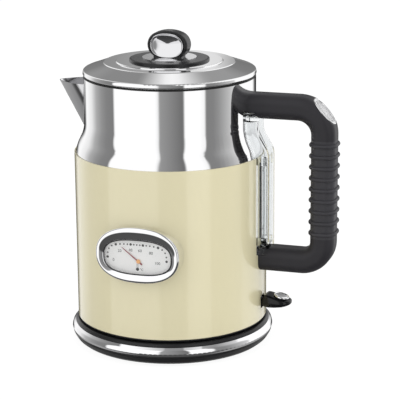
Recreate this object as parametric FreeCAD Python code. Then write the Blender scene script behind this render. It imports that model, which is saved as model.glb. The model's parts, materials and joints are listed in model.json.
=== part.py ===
import FreeCAD, Part

import math
import os

# Electric kettle on a cordless power base, in millimetres.
# Origin: on the kettle's axis, on the table. +Z up, +X to the handle,
# -X to the spout, -Y to the temperature gauge.

# ---- Fits shared by several pieces ----
moving_gap = 0.3          # between pieces that move past each other
running_fit = 0.05        # radial, pin in a turning bore
hole_clearance = 0.2      # radial, loose hole round a fixed piece

# ---- Main sizes ----
body_radius = 75.0
neck_setback = 8.2        # neck inside the body
jacket_top = 152.4
shoulder_bottom = 148.0
shoulder_top = 176.0
rim_top = 211.0

# ---- Power base ----
base_overhang = 5.0       # base past the body
base_foot_radius = 5.0
base_foot_inset = 18.0
base_foot_height = 1.5
base_foot_seat = 0.5      # how far the feet sit in the cover
base_wall = 2.0
base_ring_bottom = 8.6
base_ring_top = 15.3
base_ring_width = 4.0
base_top = 17.8
dish_floor = 12.0
dish_setback = 6.0        # dish rim inside the body
dish_slope = 1.6
base_screw_circle = 50.0
base_screw_count = 3
base_screw_radius = 1.3
base_screw_head = 2.6
cord_outlet_width = 7.2
cord_outlet_height = 4.4

# ---- Round cordless connector ----
tower_radius = 14.5
tower_rise = 12.0         # above the dish floor
ring_contact_radius = 10.2
ring_contact_wall = 1.2
pin_contact_radius = 2.2
contact_gap = 0.7         # round both moving contacts
contact_drop = 7.0        # contacts reach this far into the tower
connector_overhang = 1.3
connector_height = 6.0
connector_lift = 1.2      # connector above the tower

# ---- Vessel and jacket ----
jacket_wall = 0.9
vessel_wall = 0.8
skirt_gap = 0.6           # over the power base
skirt_height = 2.4
upstand_height = 9.2
vessel_gap = 11.0         # upstand to vessel
floor_rise = 3.0
plate_thickness = 0.8

# ---- Bottom cover of the kettle ----
cover_wall = 2.0
foot_ring_width = 4.4
foot_ring_height = 0.9
cover_screw_inset = 12.0
cover_screw_count = 3
cover_screw_start = 75.0  # degrees
cover_screw_radius = 1.6
cover_screw_head = 3.0
stud_radius = 3.2

# ---- Heater and control ----
diffuser_inset = 15.0     # from the body
diffuser_thickness = 3.0
element_radius = 45.0
element_tube_radius = 3.2
element_gap_angle = 60.0
element_pin_drop = 9.0
control_radius = 28.0
control_rise = 0.8        # over the bottom cover
bimetal_radius = 7.0
bimetal_rim = 1.4         # control left outside each disc
bimetal_thickness = 0.8
steam_tube_x = 51.0
steam_tube_y = 26.0
steam_tube_radius = 4.0
steam_tube_wall = 0.8
steam_tube_drop = 21.0    # below the rim
steam_tube_tail = 8.0     # below the vessel floor
steam_switch_size = 13.0

# ---- Spout and its filter ----
spout_reach = 24.8        # past the neck
spout_drop = 8.0          # below the rim
spout_root_rise = 10.0    # lower end, above the shoulder's foot
spout_front_slope = 0.5545
spout_wall = 0.9
spout_plan = [(0.5, 1.9), (1.9, 3.9), (5.2, 7.0), (9.8, 10.7), (14.6, 13.4), (19.0, 14.9),
              (26.0, 15.8), (42.0, 16.2)]   # behind the tip, half-width
filter_sill = 8.0         # above the spout's lower end
filter_half_angle = 18.0
filter_frame_depth = 1.4
filter_frame_border = 3.0
filter_mesh_depth = 0.4

# ---- Handle ----
handle_depth = 19.0
handle_width = 21.6
handle_corner = 7.0
handle_wall = 2.6
upper_arm_drop = 19.5     # below the rim
lower_arm_height = 71.1
hand_gap = 48.6           # body to the grip's middle
upper_inner_bend = 10.6
lower_inner_bend = 7.0
sleeve_above_arm = 20.3
sleeve_below_arm = 23.5
sleeve_wall = 1.2
rib_count = 9
rib_start = 3.7           # above the sleeve's lower end
rib_pitch = 8.64
rib_proud = 1.5
rib_height = 3.0
badge_angle = 41.7        # degrees above horizontal, facing outward
badge_setback = 0.1       # inside the grip's middle
badge_drop = 2.1          # below the arm's middle
badge_length = 25.0
badge_width = 18.8
badge_rim_width = 1.5
badge_thickness = 2.0
badge_pocket = 1.2
bracket_half_width = 6.5
bracket_half_height = 5.0
bracket_length = 25.0
bracket_screw_reach = 17.0
bracket_screw_radius = 1.8
bracket_screw_head = 3.2
joining_screw_reach = 30.5  # past the body
joining_screw_radius = 1.4
joining_screw_head = 2.8
joining_boss_radius = 3.6

# ---- Water gauge ----
window_half_width = 13.5
window_depth = 7.1        # off the body
window_neck_depth = 6.8
window_wall = 2.0
window_corner = 7.0
window_bend = 14.0
window_bend_rise = 4.1    # lower bend above the jacket
window_bend_drop = 5.5    # upper bend below the shoulder's top
window_arm_lap = 5.0      # wraps round the arms
gauge_slot_half_width = 6.0
gauge_slot_above_arm = 9.2
gauge_slot_drop = 6.4     # below the jacket's top
seal_border = 2.0
level_tube_depth = 4.4
level_tube_width = 8.0
level_tube_wall = 0.9
level_tube_gap = 0.3      # off the jacket
level_block_width = 15.0
level_block_height = 7.5
level_block_lift = 0.6    # top block above the jacket
level_foot_height = 4.5

# ---- Temperature gauge ----
dial_centre_z = 87.3
opening_half_width = 27.0
opening_half_height = 13.6
opening_end_radius = 13.3
opening_drop = 0.6
bezel_side = 6.0          # bezel past the opening, at the ends
bezel_edge = 8.1          # above and below
bezel_turn = 8.1          # added end radius
bezel_wall = 0.8
bezel_proud = 6.0         # off the body
bezel_slope_width = 3.2
bezel_slope_depth = 1.4
dial_border = 2.0         # dial and lens reach past the opening
dial_proud = 1.4
dial_thickness = 0.5
lens_setback = 1.8        # behind the bezel's face
lens_thickness = 0.8
pivot_drop = 4.3
needle_length = 17.3
needle_tail = 4.2
needle_width = 1.3
needle_thickness = 0.4
needle_hub_radius = 2.2
needle_gap = 0.4
needle_rest_angle = 142.0  # degrees from +X, seen from the front
spindle_radius = 0.6
spindle_depth = 13.0      # into the body
probe_radius = 4.0
probe_wall = 0.7
probe_depth = 19.0        # into the body
coil_radius = 2.7
coil_wall = 0.6
coil_length = 13.0
probe_nut_radius = 6.8
probe_nut_thickness = 2.6
probe_seal_thickness = 1.4

# ---- Switch lever ----
lever_pivot_inset = 13.0  # inside the body
lever_pivot_rise = 4.0    # above the upstand
lever_pin_radius = 1.5
lever_hub_radius = 4.0
lever_half_width = 3.9
lever_travel = 8.0        # degrees
stem_below_pivot = 2.2
stem_above_pivot = 5.3
paddle_reach = 23.5       # past the body
paddle_radius = 8.6
paddle_peak_reach = 4.8   # raised end of the paddle's top
paddle_peak_rise = 7.8    # above the pivot
paddle_tip_rise = 3.0
paddle_tip_height = 2.4
paddle_slope = 14.5       # degrees, under the bright pad
pad_reach = 15.9
pad_half_length = 5.9
pad_half_width = 5.6
pad_thickness = 0.6
ear_thickness = 2.5
shield_half_width = 6.8
shield_drop = 10.5        # below the pivot
shield_thickness = 2.0
shield_setback = 2.9      # behind the jacket's inner face
trip_arm_lap = 8.0        # over the control
trip_arm_drop = 5.4       # below the pivot
trip_arm_height = 4.0

# ---- Lid ----
lid_overhang = 0.4
gasket_seen = 0.6         # gasket's edge between neck and lid
lid_rim_height = 4.2
lid_wall = 0.8
lid_step_inset = 16.7
lid_step_rise = 9.7
lid_inner_step_inset = 9.5
lid_inner_step_rise = 0.5
lid_height = 11.2
plug_gap = 1.4
plug_depth = 6.5          # below the rim
plug_rise = 3.7           # into the lid
lid_plug_wall = 1.5
gasket_lip = 1.1
gasket_flange = 2.0
gasket_depth = 4.0        # below the rim

# ---- Knob ----
knob_disc_radius = 31.0
knob_disc_height = 1.7
knob_dish_radius = 21.0
knob_dish_height = 0.6
knob_centre_rise = 11.75  # above the lid
knob_half_width = 16.2
knob_half_height = 11.2
knob_half_depth = 7.0
knob_round = 3.0
knob_foot_half_width = 11.5
knob_plate_half_width = 14.0
knob_plate_half_height = 9.7
knob_plate_thickness = 2.4
knob_plate_rim = 1.1
knob_plate_hollow = 1.6
knob_screw_radius = 2.0
knob_screw_reach = 9.0    # into the knob
knob_screw_head = 4.0
knob_screw_depth = 2.0

# ---- Derived places ----
shell_inner = body_radius - jacket_wall          # jacket inside, vessel outside
vessel_inner = shell_inner - vessel_wall
neck_radius = body_radius - neck_setback
neck_inner = neck_radius - vessel_wall
base_radius = body_radius + base_overhang
base_foot_circle = base_radius - base_foot_inset
dish_radius = body_radius - dish_setback
tower_top = dish_floor + tower_rise
connector_radius = tower_radius + connector_overhang
connector_bottom = tower_top + connector_lift
contact_bottom = tower_top - contact_drop
kettle_foot = dish_floor + moving_gap
cover_floor = kettle_foot + foot_ring_height
cover_floor_top = cover_floor + cover_wall
cover_step_radius = dish_radius - 1.4
cover_screw_circle = body_radius - cover_screw_inset
skirt_bottom = base_top + skirt_gap
jacket_bottom = skirt_bottom + skirt_height
upstand_top = jacket_bottom + upstand_height
vessel_bottom = upstand_top + vessel_gap
vessel_floor = vessel_bottom + floor_rise
plate_bottom = vessel_floor - plate_thickness
diffuser_radius = body_radius - diffuser_inset
diffuser_bottom = plate_bottom - diffuser_thickness
control_bottom = cover_floor_top + control_rise
steam_tube_top = rim_top - steam_tube_drop
steam_tube_bottom = vessel_floor - steam_tube_tail
spout_tip = neck_radius + spout_reach
spout_top = rim_top - spout_drop
spout_end = shoulder_bottom + spout_root_rise
filter_bottom = spout_end + filter_sill
handle_half_depth = handle_depth / 2
handle_half_width = handle_width / 2
grip_reach = body_radius + hand_gap
upper_arm_height = rim_top - upper_arm_drop
upper_arm_bottom = upper_arm_height - handle_half_depth
lower_arm_top = lower_arm_height + handle_half_depth
upper_bend_radius = upper_inner_bend + handle_half_depth
lower_bend_radius = lower_inner_bend + handle_half_depth
upper_bend_x = grip_reach - upper_bend_radius
upper_bend_z = upper_arm_height - upper_bend_radius
lower_bend_x = grip_reach - lower_bend_radius
lower_bend_z = lower_arm_height + lower_bend_radius
sleeve_bottom = lower_arm_height + sleeve_above_arm
sleeve_top = upper_arm_height - sleeve_below_arm
badge_reach_x = grip_reach - badge_setback
badge_reach_z = upper_arm_height - badge_drop
window_reach = body_radius + window_depth
window_neck_reach = neck_radius + window_neck_depth
gauge_slot_bottom = lower_arm_top + gauge_slot_above_arm
gauge_slot_top = jacket_top - gauge_slot_drop
opening_centre_z = dial_centre_z - opening_drop
pivot_z = dial_centre_z - pivot_drop
bezel_half_width = opening_half_width + bezel_side
bezel_half_height = opening_half_height + bezel_edge
bezel_end_radius = opening_end_radius + bezel_turn
bezel_face = body_radius + bezel_proud
lens_front = bezel_face - lens_setback
dial_back = body_radius + dial_proud
dial_front = dial_back + dial_thickness
needle_back = dial_front + needle_gap
needle_front = needle_back + needle_thickness
spindle_inner_end = body_radius - spindle_depth
probe_inner_end = body_radius - probe_depth
lever_pivot_x = body_radius - lever_pivot_inset
lever_pivot_z = upstand_top + lever_pivot_rise
stem_bottom = lever_pivot_z - stem_below_pivot
stem_top = lever_pivot_z + stem_above_pivot
paddle_end = body_radius + paddle_reach
paddle_peak_x = body_radius + paddle_peak_reach
paddle_peak_z = lever_pivot_z + paddle_peak_rise
pad_centre_x = body_radius + pad_reach
lid_radius = neck_radius + lid_overhang
lid_step_radius = lid_radius - lid_step_inset
lid_inner_step_radius = lid_step_radius - lid_inner_step_inset
gasket_bottom = rim_top + moving_gap
lid_bottom = gasket_bottom + gasket_seen
lid_step_height = lid_bottom + lid_step_rise
lid_top = lid_bottom + lid_height
lid_plug_radius = neck_inner - plug_gap
lid_plug_bottom = rim_top - plug_depth
lid_plug_top = lid_bottom + plug_rise
gasket_lip_bottom = rim_top - gasket_depth
knob_disc_top = lid_top + knob_disc_height
knob_centre_z = lid_top + knob_centre_rise

X = FreeCAD.Vector(1, 0, 0)
Y = FreeCAD.Vector(0, 1, 0)
Z = FreeCAD.Vector(0, 0, 1)
ORIGIN = FreeCAD.Vector(0, 0, 0)


# ---- Shape helpers ----
def point(x, y, z):
    return FreeCAD.Vector(x, y, z)


def disc(radius, z0, z1, x=0.0, y=0.0):
    """Upright cylinder between two heights."""
    return Part.makeCylinder(radius, z1 - z0, point(x, y, z0), Z)


def tube(outer, inner, z0, z1, x=0.0, y=0.0):
    return disc(outer, z0, z1, x, y).cut(disc(inner, z0 - 1, z1 + 1, x, y))


def bar(radius, start, end):
    """Round bar between two points."""
    along = end.sub(start)
    return Part.makeCylinder(radius, along.Length, start, along)


def block(x0, x1, y0, y1, z0, z1):
    return Part.makeBox(x1 - x0, y1 - y0, z1 - z0, point(x0, y0, z0))


def rounded_wire(corners):
    """Closed wire through corners given as (point, corner radius)."""
    stretches = []
    count = len(corners)
    for i, (corner, radius) in enumerate(corners):
        to_last = corners[i - 1][0].sub(corner).normalize()
        to_next = corners[(i + 1) % count][0].sub(corner).normalize()
        if radius <= 0:
            stretches.append((corner, None, corner))
            continue
        half_turn = to_last.getAngle(to_next) / 2
        reach = radius / math.tan(half_turn)
        middle = to_last.add(to_next).normalize()
        inset = radius / math.sin(half_turn) - radius
        stretches.append((corner.add(to_last.multiply(reach)), corner.add(middle.multiply(inset)),
                          corner.add(to_next.multiply(reach))))
    edges = []
    for i, (start, middle, end) in enumerate(stretches):
        if middle:
            edges.append(Part.Arc(start, middle, end).toShape())
        following = stretches[(i + 1) % count][0]
        if end.distanceToPoint(following) > 1e-6:
            edges.append(Part.makeLine(end, following))
    return Part.Wire(edges)


def turned(outline):
    """Solid of revolution about Z from (radius, height[, corner radius]) points."""
    corners = [(point(p[0], 0, p[1]), p[2] if len(p) > 2 else 0) for p in outline]
    return Part.Face(rounded_wire(corners)).revolve(ORIGIN, Z, 360)


def side_plate(outline, half_width):
    """Plate seen from the side: (x, z[, corner radius]) points, spread over +-Y."""
    corners = [(point(p[0], -half_width, p[1]), p[2] if len(p) > 2 else 0) for p in outline]
    return Part.Face(rounded_wire(corners)).extrude(Y * (2 * half_width))


def ringed(shape, count, start=0.0):
    """The same shape repeated round the kettle's axis."""
    copies = []
    for i in range(count):
        copy = shape.copy()
        copy.rotate(ORIGIN, Z, start + i * 360.0 / count)
        copies.append(copy)
    return copies


def union(shapes):
    result = shapes[0]
    if len(shapes) > 1:
        result = result.fuse(shapes[1:])
    return result.removeSplitter()


def oval_wire(half_width, half_height, end_radius, y, z):
    """Oval of four arcs in the plane of a given y, centred on x = 0."""
    end = half_width - end_radius
    flat_radius = (end ** 2 + half_height ** 2 - end_radius ** 2) / (2 * (half_height - end_radius))
    drop = flat_radius - half_height
    turn = math.atan2(drop, end)
    side_x = end + end_radius * math.cos(turn)
    side_z = end_radius * math.sin(turn)
    right = point(half_width, y, z)
    top = point(0, y, z + half_height)
    left = point(-half_width, y, z)
    bottom = point(0, y, z - half_height)
    corner = [point(side_x, y, z + side_z), point(-side_x, y, z + side_z),
              point(-side_x, y, z - side_z), point(side_x, y, z - side_z)]
    arcs = [Part.Arc(corner[0], top, corner[1]), Part.Arc(corner[1], left, corner[2]),
            Part.Arc(corner[2], bottom, corner[3]), Part.Arc(corner[3], right, corner[0])]
    return Part.Wire([arc.toShape() for arc in arcs])


def oval(half_width, half_height, end_radius, front, back, z):
    """Oval block facing -Y, from y = -front to y = -back."""
    face = Part.Face(oval_wire(half_width, half_height, end_radius, -front, z))
    return face.extrude(Y * (front - back))


def rounded_section(centre, across, half_across, half_width, radius):
    """Rounded rectangle through a centre, one side along `across`, the other along Y."""
    corners = []
    for a, b in ((-1, -1), (1, -1), (1, 1), (-1, 1)):
        corners.append((centre.add(across * (a * half_across)).add(Y * (b * half_width)), radius))
    return Part.Face(rounded_wire(corners))


nodes = {}


def keep(name, shape):
    """Remember a finished sub-part under its name."""
    nodes[name] = shape


# ---- Outer form of the vessel, used to fit everything that seats on it ----
def body_outline(offset):
    """Outside of jacket and vessel, moved inward by an offset: (r, z) wire points."""
    shell = shell_inner - offset
    neck = neck_radius - offset
    middle = (point((shell + neck) / 2, 0, (shoulder_bottom + shoulder_top) / 2))
    half_rise = (shoulder_top - shoulder_bottom) / 2
    half_step = (shell - neck) / 2
    bend = (half_rise ** 2 + half_step ** 2) / (2 * half_step)
    quarter = math.asin(half_rise / bend) / 2
    lower_mid = point(shell - bend + bend * math.cos(quarter), 0,
                      shoulder_bottom + bend * math.sin(quarter))
    upper_mid = point(neck + bend - bend * math.cos(quarter), 0,
                      shoulder_top - bend * math.sin(quarter))
    lower = Part.Arc(point(shell, 0, shoulder_bottom), lower_mid, middle).toShape()
    upper = Part.Arc(middle, upper_mid, point(neck, 0, shoulder_top)).toShape()
    return lower, upper, shell, neck


def vessel_form(offset, bottom, top):
    """Solid filling the vessel's outer form, moved inward by an offset."""
    lower, upper, shell, neck = body_outline(offset)
    corners = [point(neck, 0, shoulder_top), point(neck, 0, top), point(0, 0, top),
               point(0, 0, bottom), point(shell, 0, bottom), point(shell, 0, shoulder_bottom)]
    lines = [Part.makeLine(a, b) for a, b in zip(corners, corners[1:])]
    wire = Part.Wire([lower, upper] + lines)
    return Part.Face(wire).revolve(ORIGIN, Z, 360)


def body_form():
    """Everything inside the outer skin of jacket and vessel."""
    return vessel_form(0, 0, rim_top).fuse(disc(body_radius, 0, jacket_top))


# ---- Power base ----
def base_screw_places():
    return [(base_screw_circle * math.cos(math.radians(a)), base_screw_circle * math.sin(math.radians(a)))
            for a in range(30, 390, 360 // base_screw_count)]


def base_foot_places():
    """Four feet near the rim and one under the connector."""
    reach = base_foot_circle * math.sqrt(0.5)
    return [(0.0, 0.0)] + [(x, y) for x in (-reach, reach) for y in (-reach, reach)]


def make_power_base():
    floor = base_foot_height
    floor_top = floor + base_wall
    post_bottom = floor_top + 2.5
    head_top = floor + 3.0
    ceiling = dish_floor - base_wall
    rim = base_radius - 0.8
    pan = turned([(0, floor), (base_radius - 5.5, floor, 1.0), (base_radius - 3.0, floor + 2.0, 2.0),
                  (rim, base_ring_bottom - 1.4, 2.0), (rim, base_ring_bottom),
                  (rim - base_wall, base_ring_bottom), (rim - base_wall, base_ring_bottom - 1.0),
                  (base_radius - 4.8, floor_top + 0.9), (base_radius - 6.1, floor_top), (0, floor_top)])
    for x, y in base_screw_places():
        pan = pan.fuse(disc(base_screw_head + 2.4, floor, post_bottom, x, y))
        pan = pan.cut(disc(base_screw_head + hole_clearance, floor - 1, head_top, x, y))
        pan = pan.cut(disc(base_screw_radius + hole_clearance, floor, post_bottom + 1, x, y))
    feet = []
    for x, y in base_foot_places():
        foot = disc(base_foot_radius, 0, base_foot_height + base_foot_seat, x, y)
        pan = pan.cut(foot)
        feet.append(foot.makeFillet(0.5, [e for e in foot.Edges if abs(e.BoundBox.ZMax) < 1e-6]))
    outlet_bottom = base_ring_bottom - cord_outlet_height
    pan = pan.cut(block(-cord_outlet_width / 2, cord_outlet_width / 2, base_radius - 10, base_radius + 1,
                        outlet_bottom, base_ring_bottom + 1))
    keep("base_bottom_cover", pan.removeSplitter())
    keep("base_feet", Part.makeCompound(feet))

    ring_inner = base_radius - base_ring_width
    keep("base_chrome_ring", turned([
        (ring_inner, base_ring_bottom), (base_radius - 0.9, base_ring_bottom),
        (base_radius, base_ring_bottom + 1.8, 1.5), (base_radius - 0.7, base_ring_top - 2.2, 3.0),
        (base_radius - 2.6, base_ring_top), (ring_inner, base_ring_top)]))

    dish_top = dish_radius + dish_slope
    tower_hole = tower_radius + 0.1
    top = turned([
        (tower_hole, dish_floor), (dish_radius, dish_floor, 1.0), (dish_top, base_top, 1.0),
        (base_radius - 4.6, base_top, 1.2), (base_radius - 2.8, base_ring_top, 0.4),
        (ring_inner, base_ring_top), (ring_inner, base_ring_bottom),
        (ring_inner - base_wall, base_ring_bottom), (ring_inner - base_wall, base_top - base_wall),
        (dish_top - base_wall + 0.4, base_top - base_wall), (dish_radius - base_wall + 0.4, ceiling),
        (tower_hole, ceiling)])
    for x, y in base_screw_places():
        top = top.fuse(disc(4.0, post_bottom, ceiling + 0.5, x, y))
        top = top.cut(disc(base_screw_radius, post_bottom - 1, ceiling, x, y))
    keep("base_top_cover", top.removeSplitter())

    screws = []
    for x, y in base_screw_places():
        head = disc(base_screw_head, head_top - 1.6, head_top, x, y)
        slot = block(x - 0.4, x + 0.4, y - 2.0, y + 2.0, head_top - 2, head_top - 1.0)
        screws.append(head.cut(slot).fuse(disc(base_screw_radius, head_top, ceiling, x, y)))
    keep("base_screws", Part.makeCompound(screws))

    groove_inner = ring_contact_radius - ring_contact_wall - contact_gap
    groove_outer = ring_contact_radius + contact_gap
    bore = pin_contact_radius + contact_gap
    groove_floor = contact_bottom - 3.5
    keep("base_socket", turned([
        (0, floor_top), (tower_radius + 1.5, floor_top), (tower_radius + 1.5, ceiling - 3),
        (tower_radius + 6.5, ceiling - 3), (tower_radius + 6.5, ceiling), (tower_radius, ceiling),
        (tower_radius, tower_top, 1.0), (groove_outer, tower_top), (groove_outer, groove_floor),
        (groove_inner, groove_floor), (groove_inner, tower_top), (bore, tower_top),
        (bore, groove_floor), (0, groove_floor)]))
    strip_top = groove_floor + 1.5
    keep("base_contacts", Part.makeCompound([
        tube(groove_outer - 0.4, groove_inner + 0.4, groove_floor, strip_top),
        disc(bore - 0.6, groove_floor, groove_floor + 1.0)]))

    block_y = base_radius - 36
    terminals = block(-12, 12, block_y, block_y + 11, floor_top, ceiling - 0.5)
    for x in (-8.0, 0.0, 8.0):
        terminals = terminals.cut(disc(2.0, ceiling - 3.5, ceiling, x, block_y + 5.5))
        terminals = terminals.cut(bar(1.4, point(x, block_y - 1, floor_top + 2.2),
                                      point(x, block_y + 12, floor_top + 2.2)))
    keep("base_terminal_block", terminals)


# ---- Round connector under the kettle ----
def make_connector():
    contact_top = connector_bottom + 2.5
    housing = turned([(0, connector_bottom), (connector_radius, connector_bottom),
                      (connector_radius, connector_bottom + connector_height, 1.0),
                      (0, connector_bottom + connector_height)])
    ring = tube(ring_contact_radius, ring_contact_radius - ring_contact_wall, contact_bottom, contact_top)
    pin = disc(pin_contact_radius, contact_bottom, contact_top)
    pin = pin.makeFillet(1.2, [e for e in pin.Edges if abs(e.BoundBox.ZMax - contact_bottom) < 1e-6])
    keep("connector_housing", housing.cut(ring).cut(disc(pin_contact_radius, contact_bottom, contact_top)))
    keep("connector_ring", ring)
    keep("connector_pin", pin)


# ---- Kettle: bottom cover, heater, control ----
def cover_screw_places():
    turns = [math.radians(cover_screw_start + i * 360.0 / cover_screw_count)
             for i in range(cover_screw_count)]
    return [(cover_screw_circle * math.cos(a), cover_screw_circle * math.sin(a)) for a in turns]


def make_bottom_cover():
    foot_outer = cover_step_radius - 1.4
    foot_inner = foot_outer - foot_ring_width
    opening = tower_radius + 1.6
    step_top = cover_step_radius + dish_slope
    cover = turned([
        (opening, cover_floor), (foot_inner - 0.6, cover_floor), (foot_inner, kettle_foot),
        (foot_outer, kettle_foot), (cover_step_radius, cover_floor), (step_top, skirt_bottom, 0.6),
        (body_radius - 1.8, skirt_bottom, 0.8), (body_radius - 0.6, skirt_bottom + 1.0, 0.8),
        (body_radius - 0.6, jacket_bottom), (shell_inner, jacket_bottom), (shell_inner, upstand_top),
        (shell_inner - cover_wall, upstand_top), (shell_inner - cover_wall, skirt_bottom + cover_wall),
        (step_top - 1.4, skirt_bottom + cover_wall), (cover_step_radius - 1.6, cover_floor_top),
        (opening, cover_floor_top)])
    post_top = upstand_top
    for x, y in cover_screw_places():
        cover = cover.fuse(disc(cover_screw_head + 1.4, cover_floor, post_top, x, y))
        cover = cover.cut(disc(cover_screw_head + hole_clearance, cover_floor - 1, cover_floor + 3, x, y))
        cover = cover.cut(disc(cover_screw_radius + hole_clearance, cover_floor, post_top + 1, x, y))
    ear_inner = lever_half_width + moving_gap + 0.1
    ear_outer = ear_inner + ear_thickness
    for side in (-1, 1):
        low, high = sorted((side * ear_inner, side * ear_outer))
        ear = block(lever_pivot_x - 4, lever_pivot_x + 4, low, high, cover_floor + 0.5, lever_pivot_z)
        cover = cover.fuse([ear, bar(4.0, point(lever_pivot_x, low, lever_pivot_z),
                                     point(lever_pivot_x, high, lever_pivot_z))])
    pin_start = point(lever_pivot_x, -ear_outer, lever_pivot_z)
    pin_end = point(lever_pivot_x, ear_outer, lever_pivot_z)
    cover = cover.cut(bar(lever_pin_radius, pin_start, pin_end))
    notch = lever_half_width + 1.2
    cover = cover.cut(block(shell_inner - 6, body_radius + 1, -notch, notch,
                            skirt_bottom + cover_wall + 3, upstand_top + 1))
    keep("bottom_cover", cover.removeSplitter())
    keep("lever_pin", bar(lever_pin_radius, pin_start, pin_end))

    studs, screws = [], []
    for x, y in cover_screw_places():
        studs.append(disc(stud_radius, post_top, plate_bottom, x, y)
                     .cut(disc(cover_screw_radius, post_top - 1, post_top + 8, x, y)))
        head = disc(cover_screw_head, cover_floor + 1.0, cover_floor + 3, x, y)
        head = head.cut(block(x - 0.5, x + 0.5, y - 2.2, y + 2.2, cover_floor, cover_floor + 2))
        screws.append(head.fuse(disc(cover_screw_radius, cover_floor + 3, post_top + 8, x, y)))
    keep("plate_studs", Part.makeCompound(studs))
    keep("bottom_cover_screws", Part.makeCompound(screws))


def make_heater():
    plate = turned([(0, plate_bottom), (vessel_inner - plate_thickness, plate_bottom),
                    (vessel_inner - plate_thickness, vessel_bottom), (vessel_inner, vessel_bottom),
                    (vessel_inner, vessel_floor, 0.6), (0, vessel_floor)])
    diffuser = disc(diffuser_radius, diffuser_bottom, plate_bottom)
    steam_hole = disc(steam_tube_radius + hole_clearance, diffuser_bottom - 1, plate_bottom,
                      steam_tube_x, steam_tube_y)
    plate = plate.cut(disc(steam_tube_radius, plate_bottom - 1, vessel_floor + 1, steam_tube_x, steam_tube_y))
    diffuser = diffuser.cut(steam_hole)
    for x, y in cover_screw_places():
        diffuser = diffuser.cut(disc(stud_radius + hole_clearance, diffuser_bottom - 1, plate_bottom, x, y))
    keep("heating_plate", plate)
    keep("heat_diffuser", diffuser)

    tube_z = diffuser_bottom - element_tube_radius
    sweep = 360.0 - element_gap_angle
    half_gap = element_gap_angle / 2
    start = point(element_radius, 0, tube_z)
    section = Part.Face(Part.Wire(Part.makeCircle(element_tube_radius, start, Y)))
    section.rotate(ORIGIN, Z, half_gap)
    element = section.revolve(ORIGIN, Z, sweep)
    for side in (-1, 1):
        turn = math.radians(side * half_gap)
        x = element_radius * math.cos(turn)
        y = element_radius * math.sin(turn)
        elbow = Part.makeSphere(element_tube_radius, point(x, y, tube_z))
        drop = disc(element_tube_radius - 0.6, tube_z - element_pin_drop, tube_z, x, y)
        element = element.fuse([elbow, drop])
    keep("heating_element", element.removeSplitter())


def make_control():
    bore = connector_radius + moving_gap
    lip = (tower_radius + connector_radius) / 2 - 0.1
    bore_top = connector_bottom + connector_height + moving_gap
    lip_top = connector_bottom - moving_gap
    lip_bottom = lip_top - 1.5
    control = turned([
        (bore, control_bottom), (control_radius, control_bottom, 1.0),
        (control_radius, diffuser_bottom), (0, diffuser_bottom), (0, bore_top), (bore, bore_top),
        (bore, lip_top), (lip, lip_top), (lip, lip_bottom), (bore, lip_bottom)])
    discs = []
    for side in (-1, 1):
        y = side * (control_radius - bimetal_rim - bimetal_radius)
        pocket = disc(bimetal_radius, diffuser_bottom - bimetal_thickness, diffuser_bottom + 1, 0, y)
        control = control.cut(pocket)
        discs.append(disc(bimetal_radius, diffuser_bottom - bimetal_thickness, diffuser_bottom, 0, y))
    keep("control_body", control)
    keep("bimetal_discs", Part.makeCompound(discs))

    half = steam_switch_size / 2
    switch = block(steam_tube_x - half, steam_tube_x + half, steam_tube_y - half, steam_tube_y + half,
                   cover_floor_top, steam_tube_bottom)
    keep("steam_switch", switch.makeFillet(1.5, [e for e in switch.Edges if e.BoundBox.ZLength > 10]))
    keep("steam_tube", tube(steam_tube_radius, steam_tube_radius - steam_tube_wall, steam_tube_bottom,
                            steam_tube_top, steam_tube_x, steam_tube_y))


# ---- Spout ----
def spout_outline(z, inset):
    """Plan of the spout at one height, moved inward by an inset."""
    tip = -spout_tip + (spout_top - z) * spout_front_slope
    plan = [(0.0, 0.0)] + spout_plan
    side = []
    for i, (back, half) in enumerate(plan):
        before, after = plan[max(i - 1, 0)], plan[min(i + 1, len(plan) - 1)]
        run, rise = after[0] - before[0], after[1] - before[1]
        if i == 0:
            run, rise = 0.0, 1.0
        size = math.hypot(run, rise)
        side.append((tip + back + inset * rise / size, half - inset * run / size))
    near = [point(x, -y, z) for x, y in reversed(side[1:])]
    far = [point(x, y, z) for x, y in side]
    curve = Part.BSplineCurve()
    curve.interpolate(near + far)
    return Part.Wire([curve.toShape(), Part.makeLine(far[-1], near[0])])


def spout_form(inset, top):
    return Part.makeLoft([spout_outline(spout_end, inset), spout_outline(top, inset)], True, True)


def make_vessel():
    shell = vessel_form(0, vessel_bottom, rim_top).cut(vessel_form(vessel_wall, vessel_bottom - 1, rim_top + 1))
    pour = spout_form(spout_wall, spout_top - 1.0)
    shell = shell.cut(pour.cut(disc(neck_inner - 8, spout_end - 1, spout_top + 1)))
    shell = shell.cut(block(neck_radius, body_radius + 1, -gauge_slot_half_width, gauge_slot_half_width,
                            gauge_slot_bottom, gauge_slot_top))
    probe = bar(probe_radius, point(0, -body_radius - 1, pivot_z), point(0, -neck_radius, pivot_z))
    keep("vessel", shell.cut(probe).removeSplitter())
    spout = spout_form(0, spout_top).cut(spout_form(spout_wall, spout_top + 5))
    keep("spout", spout.cut(body_form()))


def gauge_seal_block(depth_in, depth_out, grow):
    """Frame-sized block at the water gauge slot, between two depths from the axis."""
    outer = disc(depth_out, gauge_slot_bottom - grow, gauge_slot_top + grow)
    outer = outer.cut(disc(depth_in, gauge_slot_bottom - grow - 1, gauge_slot_top + grow + 1))
    half = gauge_slot_half_width + grow
    return outer.common(block(0, depth_out + 1, -half, half, gauge_slot_bottom - grow, gauge_slot_top + grow))


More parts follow.
